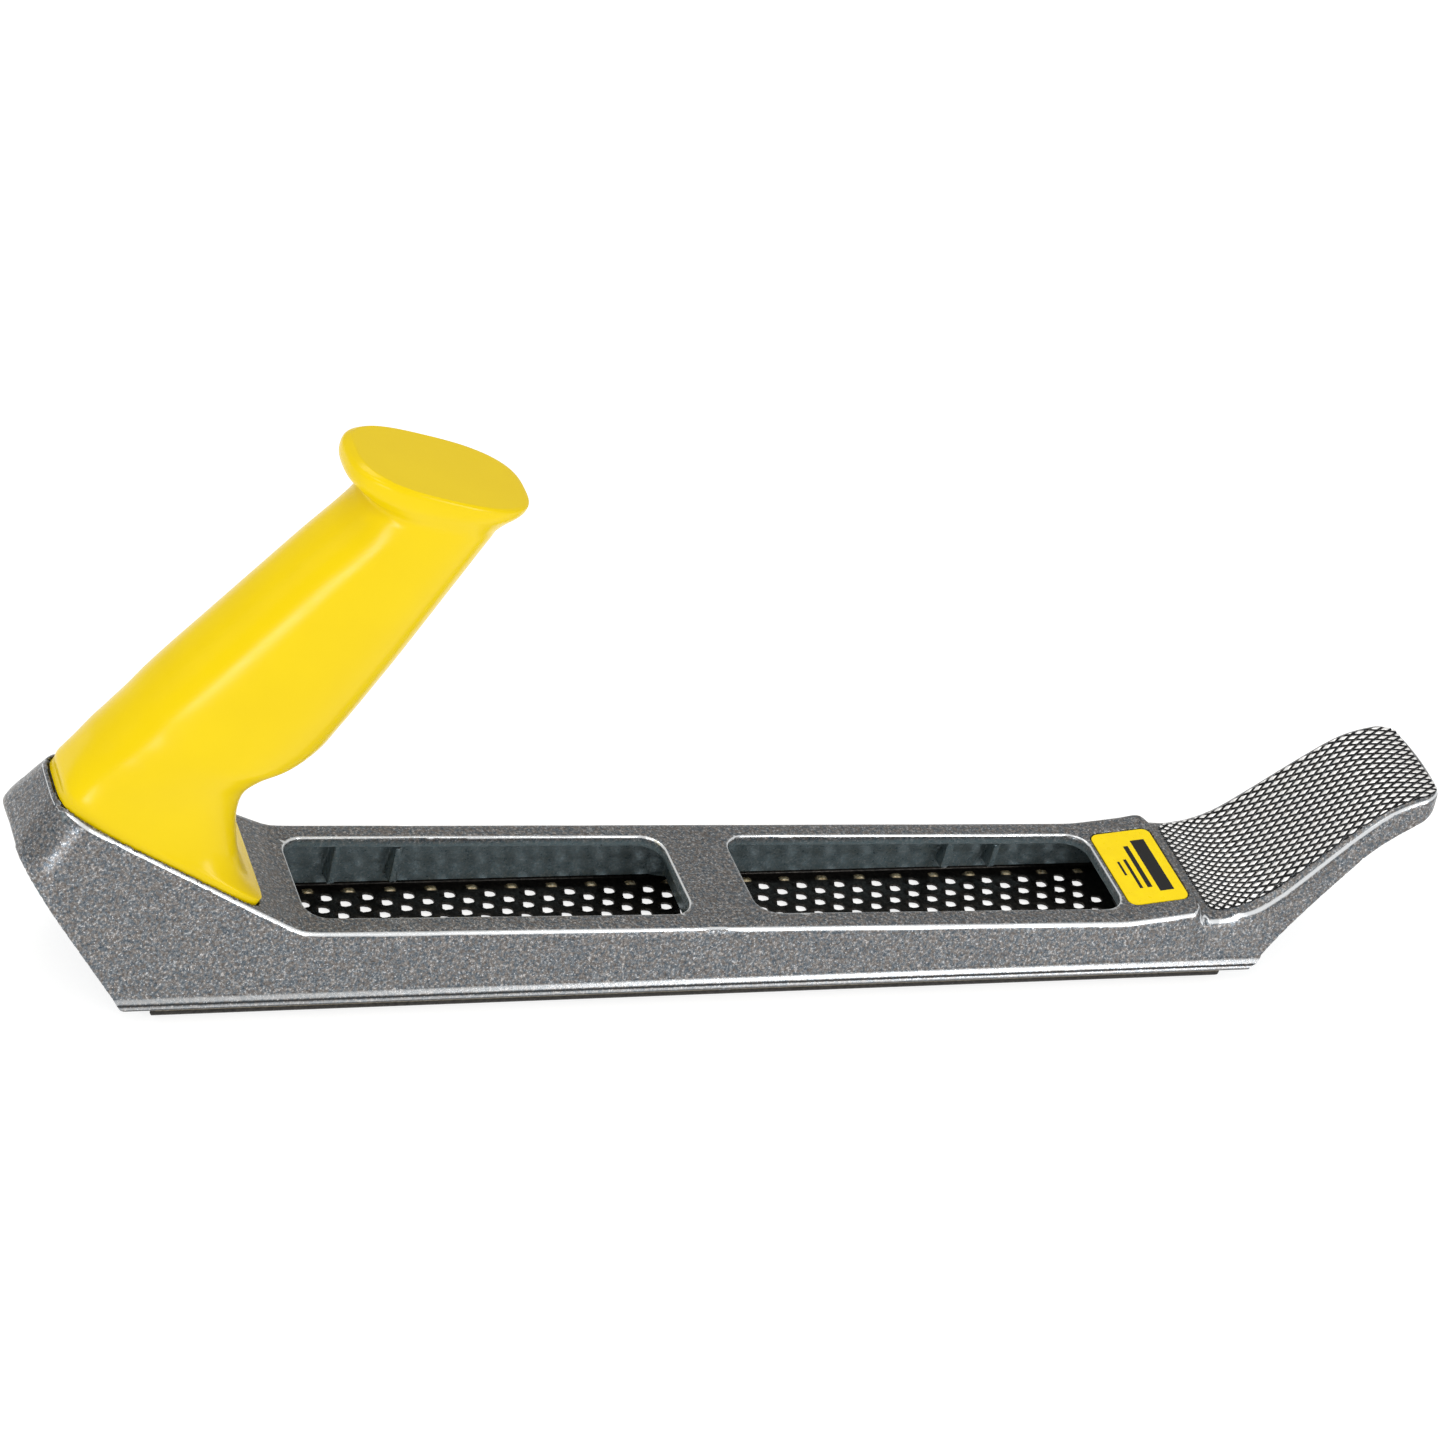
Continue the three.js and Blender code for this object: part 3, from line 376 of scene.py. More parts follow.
def blade_field(x, y, z):
    """The sheet-steel channel: a flat sole with pressed teeth, and two upright flanges."""
    row = np.clip(np.round((FIRST_ROW_Y - y) / ROW_STEP), 0, ROWS - 1)
    dip = rise = np.zeros(np.broadcast(x, y).shape)
    holes = 9 + dip
    for near in (-1, 0, 1):
        mine = row + near
        v = y - (FIRST_ROW_Y - mine * ROW_STEP)
        start = ROW_START_X + mine * ROW_SHIFT
        centre = start + HOLE_PITCH * np.round((x + 0.6 - start) / HOLE_PITCH)
        u = x - centre
        real = (mine >= 0) & (mine < ROWS) & (centre > TOOTHED[0]) & (centre < TOOTHED[1])
        by_flange = real & ((mine == 0) | (mine == ROWS - 1))
        real = real & ~by_flange
        # The hood in front of each opening dips to a cutting edge, and the opening is a D.
        ramp = np.clip((u + 3.0) / 2.0, 0, 1)
        ramp = ramp * ramp * (3 - 2 * ramp)
        fade = np.clip((0.15 - u) / 1.0, 0, 1)
        hood = np.exp(-((v / 1.0) ** 2) * 1.4) * ramp * fade
        dip = np.maximum(dip, np.where(real, hood, 0))
        # The rows beside the flanges are closed tongues that stand up a little.
        tongue = np.exp(-((u / 1.1) ** 4) - ((v / 0.75) ** 4))
        rise = np.maximum(rise, np.where(by_flange, tongue, 0))
        taper = np.clip((u + HOLE_REACH) / (2.15 * HOLE_REACH), 0, 1)
        width = HOLE_HALF * np.sqrt(np.maximum(1 - taper**3.2, 0.002))
        d_shape = round_max(np.abs(v) - width, -u - HOLE_REACH, 0.4)
        holes = np.minimum(holes, np.where(real, np.maximum(d_shape, u - HOLE_REACH), 9))
    middle = SHEET_TOP - SHEET / 2 - TOOTH_DEPTH * dip + TONGUE_RISE * rise
    sole = np.abs(z - middle) - SHEET / 2 * (1 - 0.45 * dip)
    ay = np.abs(y)
    inner = BLADE_HALF - 0.8
    outside = round_max(ay - BLADE_HALF, SHEET_TOP - SHEET - z, 1.2)
    flange = np.maximum(outside, -round_max(ay - inner, SHEET_TOP - z, 0.5))
    channel = np.where(ay > inner - 1.5, flange, sole)
    channel = round_max(channel, z - FLANGE_TOP, 0.15)
    ends = np.maximum(-x, x - BLADE_LENGTH) + 0.6 * np.maximum(np.abs(z - 2.9) - 1.4, 0)
    channel = round_max(channel, ends, 0.15)
    channel = cut(channel, holes, 0.06)
    for low, high in SLOTS:
        channel = cut(channel, np.maximum(plate_field(x, y, low, high, SLOT_HALF, 0.6), z - 4), 0.1)
    return channel


# ---------------------------------------------------------------- meshes


def place(points):
    """Millimetres along the blade to metres in the frame."""
    return np.asarray(points, float) * MM + (HEEL_X, 0, 0)


def gradient(field, points, size=0.02):
    x, y, z = points.T
    return np.column_stack([
        field(x + size, y, z) - field(x - size, y, z),
        field(x, y + size, z) - field(x, y - size, z),
        field(x, y, z + size) - field(x, y, z - size),
    ]) / (2 * size)


def unit(rows):
    return rows / np.maximum(np.linalg.norm(rows, axis=1, keepdims=True), 1e-9)


def surface_of(field, low, high, cell, adaptivity, symmetric):
    """The zero surface of `field` as points and faces, with the points pulled onto it."""
    axes = [np.arange(lo, hi + step, step) for lo, hi, step in zip(low, high, cell)]
    if symmetric:
        axes[1] = axes[1][axes[1] > -cell[1] / 2]
        axes[1] = np.arange(len(axes[1])) * cell[1]
    slabs = []
    for start in range(0, len(axes[0]), 40):
        x = axes[0][start:start + 40][:, None, None]
        slabs.append(field(x, axes[1][None, :, None], axes[2][None, None, :]).astype(np.float32))
    values = np.concatenate(slabs)
    if symmetric:
        values = np.concatenate([values[:, :0:-1], values], axis=1)
        axes[1] = np.concatenate([-axes[1][:0:-1], axes[1]])
    grid = openvdb.FloatGrid(3.0)
    grid.copyFromArray(np.clip(np.ascontiguousarray(values), -3, 3))
    points, triangles, quads = grid.convertToPolygons(0.0, adaptivity)
    origin = np.array([axis[0] for axis in axes])
    points = origin + points.astype(float) * np.array(cell)
    for _ in range(3):
        g = gradient(field, points)
        squared = np.maximum((g**2).sum(1), 0.2)
        move = g * (field(*points.T) / squared)[:, None]
        length = np.maximum(np.linalg.norm(move, axis=1), 1e-9)
        points -= move * np.minimum(1, 0.6 * min(cell) / length)[:, None]
    return points, triangles, quads


def corner_normals(mesh, field, points, cell):
    """The field's direction at each face corner, read a little inside the face to keep edges crisp."""
    counts = np.array([p.loop_total for p in mesh.polygons])
    starts = np.concatenate([[0], np.cumsum(counts)[:-1]])
    corner = np.zeros(len(mesh.loops), int)
    mesh.loops.foreach_get("vertex_index", corner)
    centres = np.add.reduceat(points[corner], starts) / counts[:, None]
    inward = np.repeat(centres, counts, axis=0) - points[corner]
    reach = np.maximum(np.linalg.norm(inward, axis=1, keepdims=True), 1e-9)
    return unit(gradient(field, points[corner] + inward * np.minimum(0.45, 0.3 * cell / reach), 0.03))


def winds_inward(mesh, field, points):
    face = mesh.polygons[0]
    outward = gradient(field, points[list(face.vertices)].mean(axis=0)[None, :])[0]
    return Vector(outward).dot(face.normal) < 0


def solid_object(name, field, low, high, cell, adaptivity=0.1, symmetric=True):
    """A mesh object of the field's zero surface, shaded by the field's own normals."""
    points, triangles, quads = surface_of(field, low, high, cell, adaptivity, symmetric)
    faces = [tuple(f) for f in triangles.tolist()] + [tuple(f) for f in quads.tolist()]
    mesh = bpy.data.meshes.new(name)
    mesh.from_pydata(place(points).tolist(), [], faces)
    mesh.validate()
    if winds_inward(mesh, field, points):
        mesh.flip_normals()
    normals = corner_normals(mesh, field, points, max(cell))
    made = link(name, mesh)
    mesh.normals_split_custom_set(normals.tolist())
    return made


def set_attribute(made, name, values):
    spot = made.data.attributes.new(name, "FLOAT", "POINT")
    spot.data.foreach_set("value", np.asarray(values, np.float32))


def points_of(made):
    """An object's vertices, in millimetres along the blade."""
    co = np.zeros(len(made.data.vertices) * 3, np.float32)
    made.data.vertices.foreach_get("co", co)
    return (co.reshape(-1, 3).astype(float) - (HEEL_X, 0, 0)) / MM


def outer_depth(x, y, z):
    """How far a point is outside the casting's outer faces, negative within them."""
    return np.maximum.reduce(body_faces(x, np.abs(y), z))


def mark_casting(made):
    """Mark how far each point is around the top's rounded edges, and which walls are inner ones."""
    points = points_of(made)
    x, y, z = points.T
    normal = unit(gradient(casting_field, points))
    outward = unit(gradient(outer_depth, points))
    rise = along(LINE_RISE, x)
    turned_by = np.arccos(np.clip((normal[:, 2] - rise * normal[:, 0]) / np.hypot(1, rise), -1, 1))
    side, _, _, top = body_faces(x, np.abs(y), z)
    rim = along(LINE_EDGE, x)
    rounding = np.where(side > -np.maximum(2.2, rim + 0.3), rim, WINDOW_RIM)
    around = np.clip(0.5 + (turned_by - math.radians(EDGE_ANGLE)) * rounding / EDGE_SPAN, 0, 1)
    around = np.where(top > -1.3 * rounding, around, 1)
    pocket = (np.abs(y) < LABEL_HALF + 0.9) & (x > LABEL[0] - 0.7) & (x < LABEL[1] + 0.9)
    around = np.where(pocket | (recess_field(x, y, z) < 0.4), 0, around)
    set_attribute(made, "around", around)
    within = np.clip((-0.9 - outer_depth(x, y, z)) / 0.6, 0, 1)
    set_attribute(made, "inside", within * ((normal * outward).sum(1) < 0.55))


def mark_blade(made):
    """Mark where the blade's dark finish is worn: flange tops, cutting edges and closed tongues."""
    _, y, z = points_of(made).T
    on_flange = np.clip((np.abs(y) - 20.3) / 0.4, 0, 1) * np.clip((z - 2.4) / 0.3, 0, 1)
    on_teeth = np.clip((0.45 - z) / 0.3, 0, 1) * (np.abs(y) < 19)
    on_tongues = np.clip((z - SHEET_TOP - 0.08) / 0.1, 0, 1) * (np.abs(y) < 19)
    set_attribute(made, "worn", np.maximum(on_flange, np.maximum(on_teeth, on_tongues)))


def link(name, mesh, smooth=True):
    made = bpy.data.objects.new(name, mesh)
    bpy.context.scene.collection.objects.link(made)
    mesh.polygons.foreach_set("use_smooth", np.full(len(mesh.polygons), smooth))
    return made


def grid_faces(rows, columns, closed):
    """Quads between `rows` rings or lines of `columns` points each."""
    across = columns if closed else columns - 1
    i, j = np.meshgrid(np.arange(rows - 1), np.arange(across), indexing="ij")
    a, b = i * columns + j, i * columns + (j + 1) % columns
    return np.stack([a, b, b + columns, a + columns], axis=-1).reshape(-1, 4)


def new_piece(name, points, faces, sharp_degrees):
    """A smooth mesh object from points in millimetres, with sharp edges above that angle."""
    mesh = bpy.data.meshes.new(name)
    mesh.from_pydata(place(points).tolist(), [], [tuple(face) for face in faces])
    mesh.validate()
    made = link(name, mesh)
    work = bmesh.new()
    work.from_mesh(made.data)
    bmesh.ops.recalc_face_normals(work, faces=work.faces)
    work.to_mesh(made.data)
    work.free()
    made.data.set_sharp_from_angle(angle=math.radians(sharp_degrees))
    return made


def spline_rows(rows, steps):
    """More rows between the given ones, on a smooth curve that passes through each of them."""
    centres = (rows[:, 0:2] + rows[:, 2:4]) / 2
    knots = np.concatenate([[0], np.cumsum(np.linalg.norm(np.diff(centres, axis=0), axis=1) ** 0.7)])
    slopes = np.gradient(rows, knots, axis=0)
    slopes[0] = (rows[1] - rows[0]) / (knots[1] - knots[0])
    made = []
    for k in range(len(rows) - 1):
        gap = knots[k + 1] - knots[k]
        t = np.linspace(0, 1, steps, endpoint=False)[:, None]
        made.append((2 * t**3 - 3 * t**2 + 1) * rows[k] + (t**3 - 2 * t**2 + t) * gap * slopes[k]
                    + (3 * t**2 - 2 * t**3) * rows[k + 1] + (t**3 - t**2) * gap * slopes[k + 1])
    return np.vstack([*made, rows[-1:]])


def make_handle():
    sides = 160
    curved = spline_rows(HANDLE[1:], 10)
    rings = [section(HANDLE[0], 0.1, sides), section(HANDLE[0], 1, sides)]
    rings += [section(row, 1, sides) for row in curved]
    rings += [section(HANDLE[-1], share, sides) for share in (0.97, 0.9, 0.7, 0.4, 0.1)]
    points = np.vstack(rings)
    faces = grid_faces(len(rings), sides, True).tolist()
    faces += [range(sides)[::-1], range(len(points) - sides, len(points))]
    return new_piece("grip", points, faces, 40)


def skin_field(x, y, z):
    """The casting's outer skin alone."""
    side, back, tip, top = body_faces(x, np.abs(y), z)
    return round_max(round_max(side, tip, 4.0), top, along(LINE_EDGE, x))


def make_knurl():
    """Raised diamonds over the finger rest, in two families of slanted grooves."""
    fine, height, groove_reach = 0.16, 0.42, 0.5
    widest, corner = 16.4, 3.4
    x = LINE_X[(LINE_X > 244.4) & (LINE_X < TIP_X - 0.6)]
    z = along(LINE_Z, x)
    length = np.concatenate([[0], np.cumsum(np.hypot(np.diff(x), np.diff(z)))])
    s = np.arange(0, length[-1], fine)
    x_of = np.interp(s, length, x)
    half = along(LINE_HALF, x_of) - np.interp(s, [0, 12, 50], [1.7, 1.4, 1.0])
    v = np.arange(-17, 17, fine)
    grid_s, grid_v = np.meshgrid(s, v, indexing="ij")
    grid_x = np.broadcast_to(x_of[:, None], grid_s.shape)
    turns_per_mm = np.interp(s, [0, 9, 14], [0.38, 0.38, 0.24])
    phase = np.concatenate([[0], np.cumsum(turns_per_mm[1:] * fine)])[:, None]
    families = [phase + 0.544 * grid_v, phase - 0.544 * grid_v]
    off_groove = np.minimum(*[np.abs(f - np.round(f)) for f in families]) * 1.68
    bump = 1 - (1 - np.clip((off_groove - 0.06) / groove_reach, 0, 1)) ** 2
    # The patch ends in a rounded corner at each side of its root.
    edge = plate_field(grid_s, grid_v * (widest / half[:, None]), 0.2, length[-1] - 0.5, widest, corner)
    fade = np.clip(-edge / 0.5, 0, 1)
    points = np.column_stack([grid_x.ravel(), grid_v.ravel(), along(LINE_Z, grid_x).ravel()])
    for _ in range(4):
        g = gradient(skin_field, points)
        squared = np.maximum((g**2).sum(1), 0.2)
        points -= g * (skin_field(*points.T) / squared)[:, None]
        normals = g / np.sqrt(squared)[:, None]
    points += normals * (bump * height * fade - 0.05 - 0.15 * (1 - fade)).reshape(-1, 1)
    faces = grid_faces(len(s), len(v), False)
    faces = faces[(edge < 0.3).ravel()[faces].all(axis=1)]
    used = np.unique(faces)
    remap = np.zeros(len(points), int)
    remap[used] = np.arange(len(used))
    mesh = bpy.data.meshes.new("knurled_rest")
    mesh.from_pydata(place(points[used]).tolist(), [], remap[faces].tolist())
    made = link("knurled_rest", mesh)
    set_attribute(made, "bump_height", (bump * fade).ravel()[used])
    if made.data.polygons[0].normal.z < 0:
        made.data.flip_normals()
    return made


def make_label():
    """A thin printed film with rounded corners, lying in its pocket."""
    half_length = (LABEL[1] - LABEL[0]) / 2
    outline = []
    for k, (sx, sy) in enumerate(((1, -1), (1, 1), (-1, 1), (-1, -1))):
        for turn in np.radians(np.linspace(90 * k - 90, 90 * k, 9)):
            outline.append((sx * (half_length - LABEL_CORNER) + LABEL_CORNER * math.cos(turn),
                            sy * (LABEL_HALF - LABEL_CORNER) + LABEL_CORNER * math.sin(turn)))
    outline = np.array(outline)
    levels = ((-0.5, 1.0), (-0.26, 1.0), (-0.2, 0.994), (-0.2, 0.9))
    middle_x = sum(LABEL) / 2
    across = math.hypot(1, PANEL_SLOPE)
    points, prints = [], []
    for height, share in levels:
        for u, v in outline * share:
            points.append((middle_x + (u - PANEL_SLOPE * height) / across, v,
                           panel_z(middle_x) + (PANEL_SLOPE * u + height) / across))
            prints.append((u, v, 0.0))
    count = len(outline)
    faces = grid_faces(len(levels), count, True).tolist()
    faces += [range(count)[::-1], range(count * (len(levels) - 1), count * len(levels))]
    made = new_piece("printed_film", points, faces, 30)
    spots = made.data.attributes.new("print_mm", "FLOAT_VECTOR", "POINT")
    spots.data.foreach_set("vector", np.array(prints, np.float32).ravel())
    return made


def make_beads():
    """A sloped ledge and a rounded bead along each foot of the casting, cut off at both ends."""
    # Across the body and up, with how much painted highlight the edge gets there, or how much painted shade
    # where it is negative.
    outline = np.array([
        (21.2, 7.15, 0), (21.8, 6.72, 0), (22.15, 6.36, 0.5), (22.55, 5.92, 0.5), (22.72, 5.72, 0),
        (22.76, 5.6, -0.9), (22.78, 5.25, -0.9), (22.8, 5.16, 0), (22.98, 5.0, 0.4), (23.06, 4.76, 0.4),
        (23.06, 4.62, 0), (23.0, 4.5, -0.8), (22.9, 4.2, -0.8), (22.6, 3.9, -1), (22.35, 3.84, -1),
        (21.3, 3.82, -1),
    ])
    profile, painted_light_and_shade = outline[:, :2], outline[:, 2]
    reach = np.arange(-32, 262, 0.02)
    ends = [reach[below_field(reach, max(z, FOOT_Z + 0.2)) < -0.12][[0, -1]] for z in profile[:, 1]]
    heel_x, toe_x = np.array(ends).T
    stations = np.linspace(0, 1, 60)
    points, faces = [], []
    for side in (1, -1):
        base = len(points)
        for t in stations:
            for k, (y, z) in enumerate(profile):
                points.append((heel_x[k] * (1 - t) + toe_x[k] * t, side * y, z))
        faces += (base + grid_faces(len(stations), len(profile), True)).tolist()
        faces += [range(base, base + len(profile)), range(len(points) - len(profile), len(points))]
    made = new_piece("foot_beads", points, faces, 50)
    set_attribute(made, "edge", np.tile(painted_light_and_shade, len(points) // len(painted_light_and_shade)))
    return made


def turned(name, rows, at, axis, sides=72):
    """A closed skin from rows of (height, radius); a radius may be an array, one value to each side."""
    angle = np.linspace(0, 2 * np.pi, sides, endpoint=False)
    axis = Vector(axis).normalized()
    right = axis.orthogonal().normalized()
    up = axis.cross(right)
    rings = []
    for height, radius in rows:
        ring = np.outer(np.cos(angle) * radius, right) + np.outer(np.sin(angle) * radius, up)
        rings.append(ring + np.array(at) + np.array(axis) * height)
    faces = grid_faces(len(rings), sides, True).tolist()
    faces += [range(sides)[::-1], range(sides * (len(rings) - 1), sides * len(rings))]
    return new_piece(name, np.vstack(rings), faces, 32)


def make_screw(name, at, axis, length, pitch, depth, sides=72):
    """A pan head with a hex socket, and a threaded shank that runs along `axis`."""
    angle = np.linspace(0, 360, sides, endpoint=False)
    hexagon = SOCKET_RADIUS * math.cos(math.pi / 6) / np.cos(np.radians((angle % 60) - 30))
    floor = -HEAD_HEIGHT + SOCKET_DEPTH
    rows = [(floor + 0.4, 0.05), (floor, 1.6), (floor, hexagon), (-HEAD_HEIGHT + 0.2, hexagon),
            (-HEAD_HEIGHT, hexagon + 0.25)]
    crown = HEAD_HEIGHT * 0.35
    for turn in np.radians(np.linspace(90, 0, 7)):
        rows.append((-HEAD_HEIGHT + crown * (1 - math.sin(turn)), HEAD_RADIUS - crown * (1 - math.cos(turn))))
    rows += [(-0.15, HEAD_RADIUS), (0, HEAD_RADIUS - 0.15), (0, SHANK_RADIUS), (1.2, SHANK_RADIUS)]
    for height in np.arange(1.3, length - 0.9, pitch / 8):
        wave = np.abs(((height / pitch - angle / 360) % 1) - 0.5) * 2
        rows.append((height, SHANK_RADIUS - depth * wave * min(1, (height - 1.3) / pitch)))
    rows += [(length - 0.7, SHANK_RADIUS - depth), (length, 1.5), (length, 0.05)]
    return turned(name, rows, at, axis, sides)


def make_ring(name, inner, outer, thickness, at, axis, open_degrees=0):
    """A ring with bevelled edges, or an open clip."""
    bevel = 0.12
    rows = [(bevel, inner), (0, inner + bevel), (0, outer - bevel), (bevel, outer)]
    rows += [(thickness - height, radius) for height, radius in rows[::-1]]
    sides = 96
    angle = np.linspace(0, 2 * np.pi - math.radians(open_degrees), sides)
    axis = Vector(axis).normalized()
    right = axis.orthogonal().normalized()
    spokes = np.outer(np.cos(angle), right) + np.outer(np.sin(angle), axis.cross(right))
    rings = [spokes * radius + np.array(at) + np.array(axis) * height for height, radius in rows]
    spans = sides - 1 if open_degrees else sides
    i, j = np.meshgrid(np.arange(len(rows)), np.arange(spans), indexing="ij")
    a, b = i * sides + j, i * sides + (j + 1) % sides
    up = sides * ((i + 1) % len(rows)) - sides * i
    faces = np.stack([a, b, b + up, a + up], axis=-1).reshape(-1, 4).tolist()
    if open_degrees:
        faces += [range(start, sides * len(rows), sides) for start in (0, sides - 1)]
    return new_piece(name, np.concatenate(rings), faces, 32)


def make_washer(name, at, axis):
    return make_ring(name, SHANK_RADIUS + GAP, WASHER_RADIUS, WASHER, at, axis)


def clamp_field(x, y, z):
    """The sliding nut, with a hook that reaches into the blade's slot and a threaded bore."""
    nut = box_field(x, y, z, (CLAMP_START, -9, 4.4), (CLAMP_END, 9, 12.4), 0.7)
    hook = box_field(x, y, z, (240.7, -6.5, 0.4), (243.5, 6.5, 6), 0.35)
    wave = np.cos(2 * np.pi * x / SCREW_PITCH - np.arctan2(z - SCREW_Z, y))
    return cut(round_min(nut, hook, 0.5), np.hypot(y, z - SCREW_Z) - 2.72 - 0.08 * wave, 0.1)


# ---------------------------------------------------------------- materials


class Paint:
    """A node material on one Principled shader, with short calls for the nodes used here."""

    def __init__(self, name, color, roughness, metallic=0.0):
        self.material = bpy.data.materials.new(name)
        self.material.use_nodes = True
        self.tree = self.material.node_tree
        self.shader = self.tree.nodes["Principled BSDF"]
        self.shader.inputs["Base Color"].default_value = (*color, 1)
        self.shader.inputs["Roughness"].default_value = roughness
        self.shader.inputs["Metallic"].default_value = metallic

    def node(self, kind, **settings):
        made = self.tree.nodes.new(kind)
        for key, value in settings.items():
            setattr(made, key, value)
        return made

    def wire(self, source, target):
        self.tree.links.new(source, target)

    def spot(self):
        return self.node("ShaderNodeTexCoord").outputs["Object"]

    def noise(self, size_mm, detail, rough):
        mapping = self.node("ShaderNodeMapping")
        mapping.inputs["Scale"].default_value = [1 / (size_mm * MM)] * 3
        self.wire(self.spot(), mapping.inputs["Vector"])
        made = self.node("ShaderNodeTexNoise")
        made.inputs["Scale"].default_value = 1.0
        made.inputs["Detail"].default_value = detail
        made.inputs["Roughness"].default_value = rough
        self.wire(mapping.outputs["Vector"], made.inputs["Vector"])
        return made.outputs["Fac"]

    def ramp(self, source, stops):
        made = self.node("ShaderNodeValToRGB")
        ramp = made.color_ramp
        while len(ramp.elements) < len(stops):
            ramp.elements.new(0.5)
        for element, (position, color) in zip(ramp.elements, stops):
            element.position = position
            element.color = (*color, 1)
        self.wire(source, made.inputs["Fac"])
        return made.outputs["Color"]

    def grey(self, source, stops):
        return self.ramp(source, [(p, (v, v, v)) for p, v in stops])

    def mix(self, factor, a, b):
        made = self.node("ShaderNodeMix", data_type="RGBA")
        for key, value in ((0, factor), (6, a), (7, b)):
            if isinstance(value, (int, float)):
                made.inputs[key].default_value = value
            elif isinstance(value, tuple):
                made.inputs[key].default_value = (*value, 1)
            else:
                self.wire(value, made.inputs[key])
        return made.outputs[2]

    def attribute(self, name, output="Fac"):
        return self.node("ShaderNodeAttribute", attribute_name=name).outputs[output]

    def math(self, operation, a, b=None, clamp=False):
        made = self.node("ShaderNodeMath", operation=operation, use_clamp=clamp)
        for value, socket in ((a, made.inputs[0]), (b, made.inputs[1])):
            if isinstance(value, (int, float)):
                socket.default_value = value
            elif value is not None:
                self.wire(value, socket)
        return made.outputs[0]

    def bump(self, source, distance_mm, strength):
        made = self.node("ShaderNodeBump")
        made.inputs["Distance"].default_value = distance_mm * MM
        made.inputs["Strength"].default_value = strength
        self.wire(source, made.inputs["Height"])
        self.wire(made.outputs["Normal"], self.shader.inputs["Normal"])

    def color(self, source):
        self.wire(source, self.shader.inputs["Base Color"])

    def rough(self, source):
        self.wire(source, self.shader.inputs["Roughness"])


def cast_paint(name, knurl=False):
    """Fine-grained grey casting: cool and warm specks, with a satin sheen."""
    p = Paint(name, (0.17, 0.17, 0.17), 0.3, 0.55)
    specks = p.noise(0.6, 3, 0.8)
    color = p.ramp(specks, [(0.32, (0.015, 0.019, 0.024)), (0.46, (0.092, 0.102, 0.11)),
                            (0.58, (0.215, 0.218, 0.22)), (0.68, (0.68, 0.68, 0.68))])
    tint = p.ramp(p.noise(0.9, 2, 0.6), [(0.42, (0.085, 0.13, 0.18)), (0.58, (0.25, 0.18, 0.13))])
    color = p.mix(0.26, color, tint)
    glints = p.grey(p.noise(0.42, 1, 0.5), [(0.68, 0.0), (0.76, 1.0)])
    color = p.mix(glints, color, (0.62, 0.63, 0.66))
    roughness = p.grey(p.noise(0.9, 2, 0.5), [(0.3, 0.26), (0.7, 0.4)])
    if knurl:
        # Painted shade in the knurl's grooves and a painted highlight on its raised tops.
        top = p.grey(p.attribute("bump_height"), [(0.7, 0.0), (0.88, 1.0)])
        color = p.mix(top, (0.003, 0.004, 0.005), p.mix(0.94, color, (1.0, 1.0, 1.0)))
    else:
        edge = p.attribute("edge")
        color = p.mix(p.grey(p.attribute("inside"), [(0.0, 0.0), (1.0, 0.6)]), color, (0.2, 0.29, 0.32))
        # Painted highlight: a pale, less rough band along the rounded edges of the top, deck and windows.
        painted_highlight = p.grey(p.attribute("around"), [(0.405, 0.0), (0.45, 0.9), (0.55, 0.9), (0.595, 0.0)])
        color = p.mix(painted_highlight, color, (0.88, 0.91, 0.94))
        # Painted highlight on the foot beads' ledges where "edge" is positive; painted shade in their grooves
        # and under the foot where it is negative.
        color = p.mix(p.grey(edge, [(0.0, 0.0), (1.0, 0.8)]), color, (0.88, 0.91, 0.94))
        color = p.mix(p.math("MULTIPLY", edge, -1.0, clamp=True), color, (0.012, 0.013, 0.014))
        roughness = p.mix(painted_highlight, roughness, (0.18, 0.18, 0.18))
        roughness = p.mix(p.grey(edge, [(0.0, 0.0), (1.0, 1.0)]), roughness, (0.2, 0.2, 0.2))
    p.color(color)
    p.rough(roughness)
    p.bump(p.noise(0.6, 3, 0.7), 0.05, 0.35)
    return p.material


def handle_paint():
    """Glossy yellow plastic, clouded very slightly."""
    p = Paint("moulded_yellow", (0.8, 0.585, 0.0), 0.24)
    p.shader.inputs["Specular IOR Level"].default_value = 0.2
    clouds = p.noise(14, 3, 0.5)
    p.color(p.ramp(clouds, [(0.3, (0.725, 0.525, 0.0)), (0.7, (0.745, 0.545, 0.0))]))
    p.rough(p.grey(p.noise(5, 3, 0.6), [(0.3, 0.2), (0.7, 0.27)]))
    p.bump(p.noise(0.8, 2, 0.5), 0.012, 0.5)
    return p.material


def blade_paint():
    """Dark steel with fine grime, worn to bronze where `worn` says."""
    p = Paint("blade_steel", (0.03, 0.028, 0.026), 0.38, 0.85)
    grime = p.noise(0.9, 4, 0.65)
    dark = p.ramp(grime, [(0.3, (0.012, 0.012, 0.012)), (0.7, (0.05, 0.045, 0.04))])
    bronze = p.ramp(p.noise(0.7, 4, 0.7), [(0.3, (0.2, 0.14, 0.07)), (0.46, (0.6, 0.48, 0.28)),
                                           (0.62, (0.95, 0.84, 0.62))])
    p.color(p.mix(p.attribute("worn"), dark, bronze))
    p.rough(p.grey(p.noise(1.4, 3, 0.6), [(0.3, 0.3), (0.7, 0.5)]))
    p.bump(p.noise(0.5, 2, 0.6), 0.03, 0.5)
    return p.material


def zinc_paint():
    """Dull zinc plate."""
    p = Paint("zinc_plate", (0.55, 0.56, 0.58), 0.3, 0.95)
    p.color(p.ramp(p.noise(1.6, 3, 0.6), [(0.3, (0.42, 0.42, 0.44)), (0.7, (0.66, 0.66, 0.68))]))
    p.rough(p.grey(p.noise(0.8, 3, 0.6), [(0.3, 0.22), (0.7, 0.42)]))
    p.bump(p.noise(0.4, 2, 0.5), 0.02, 0.4)
    return p.material


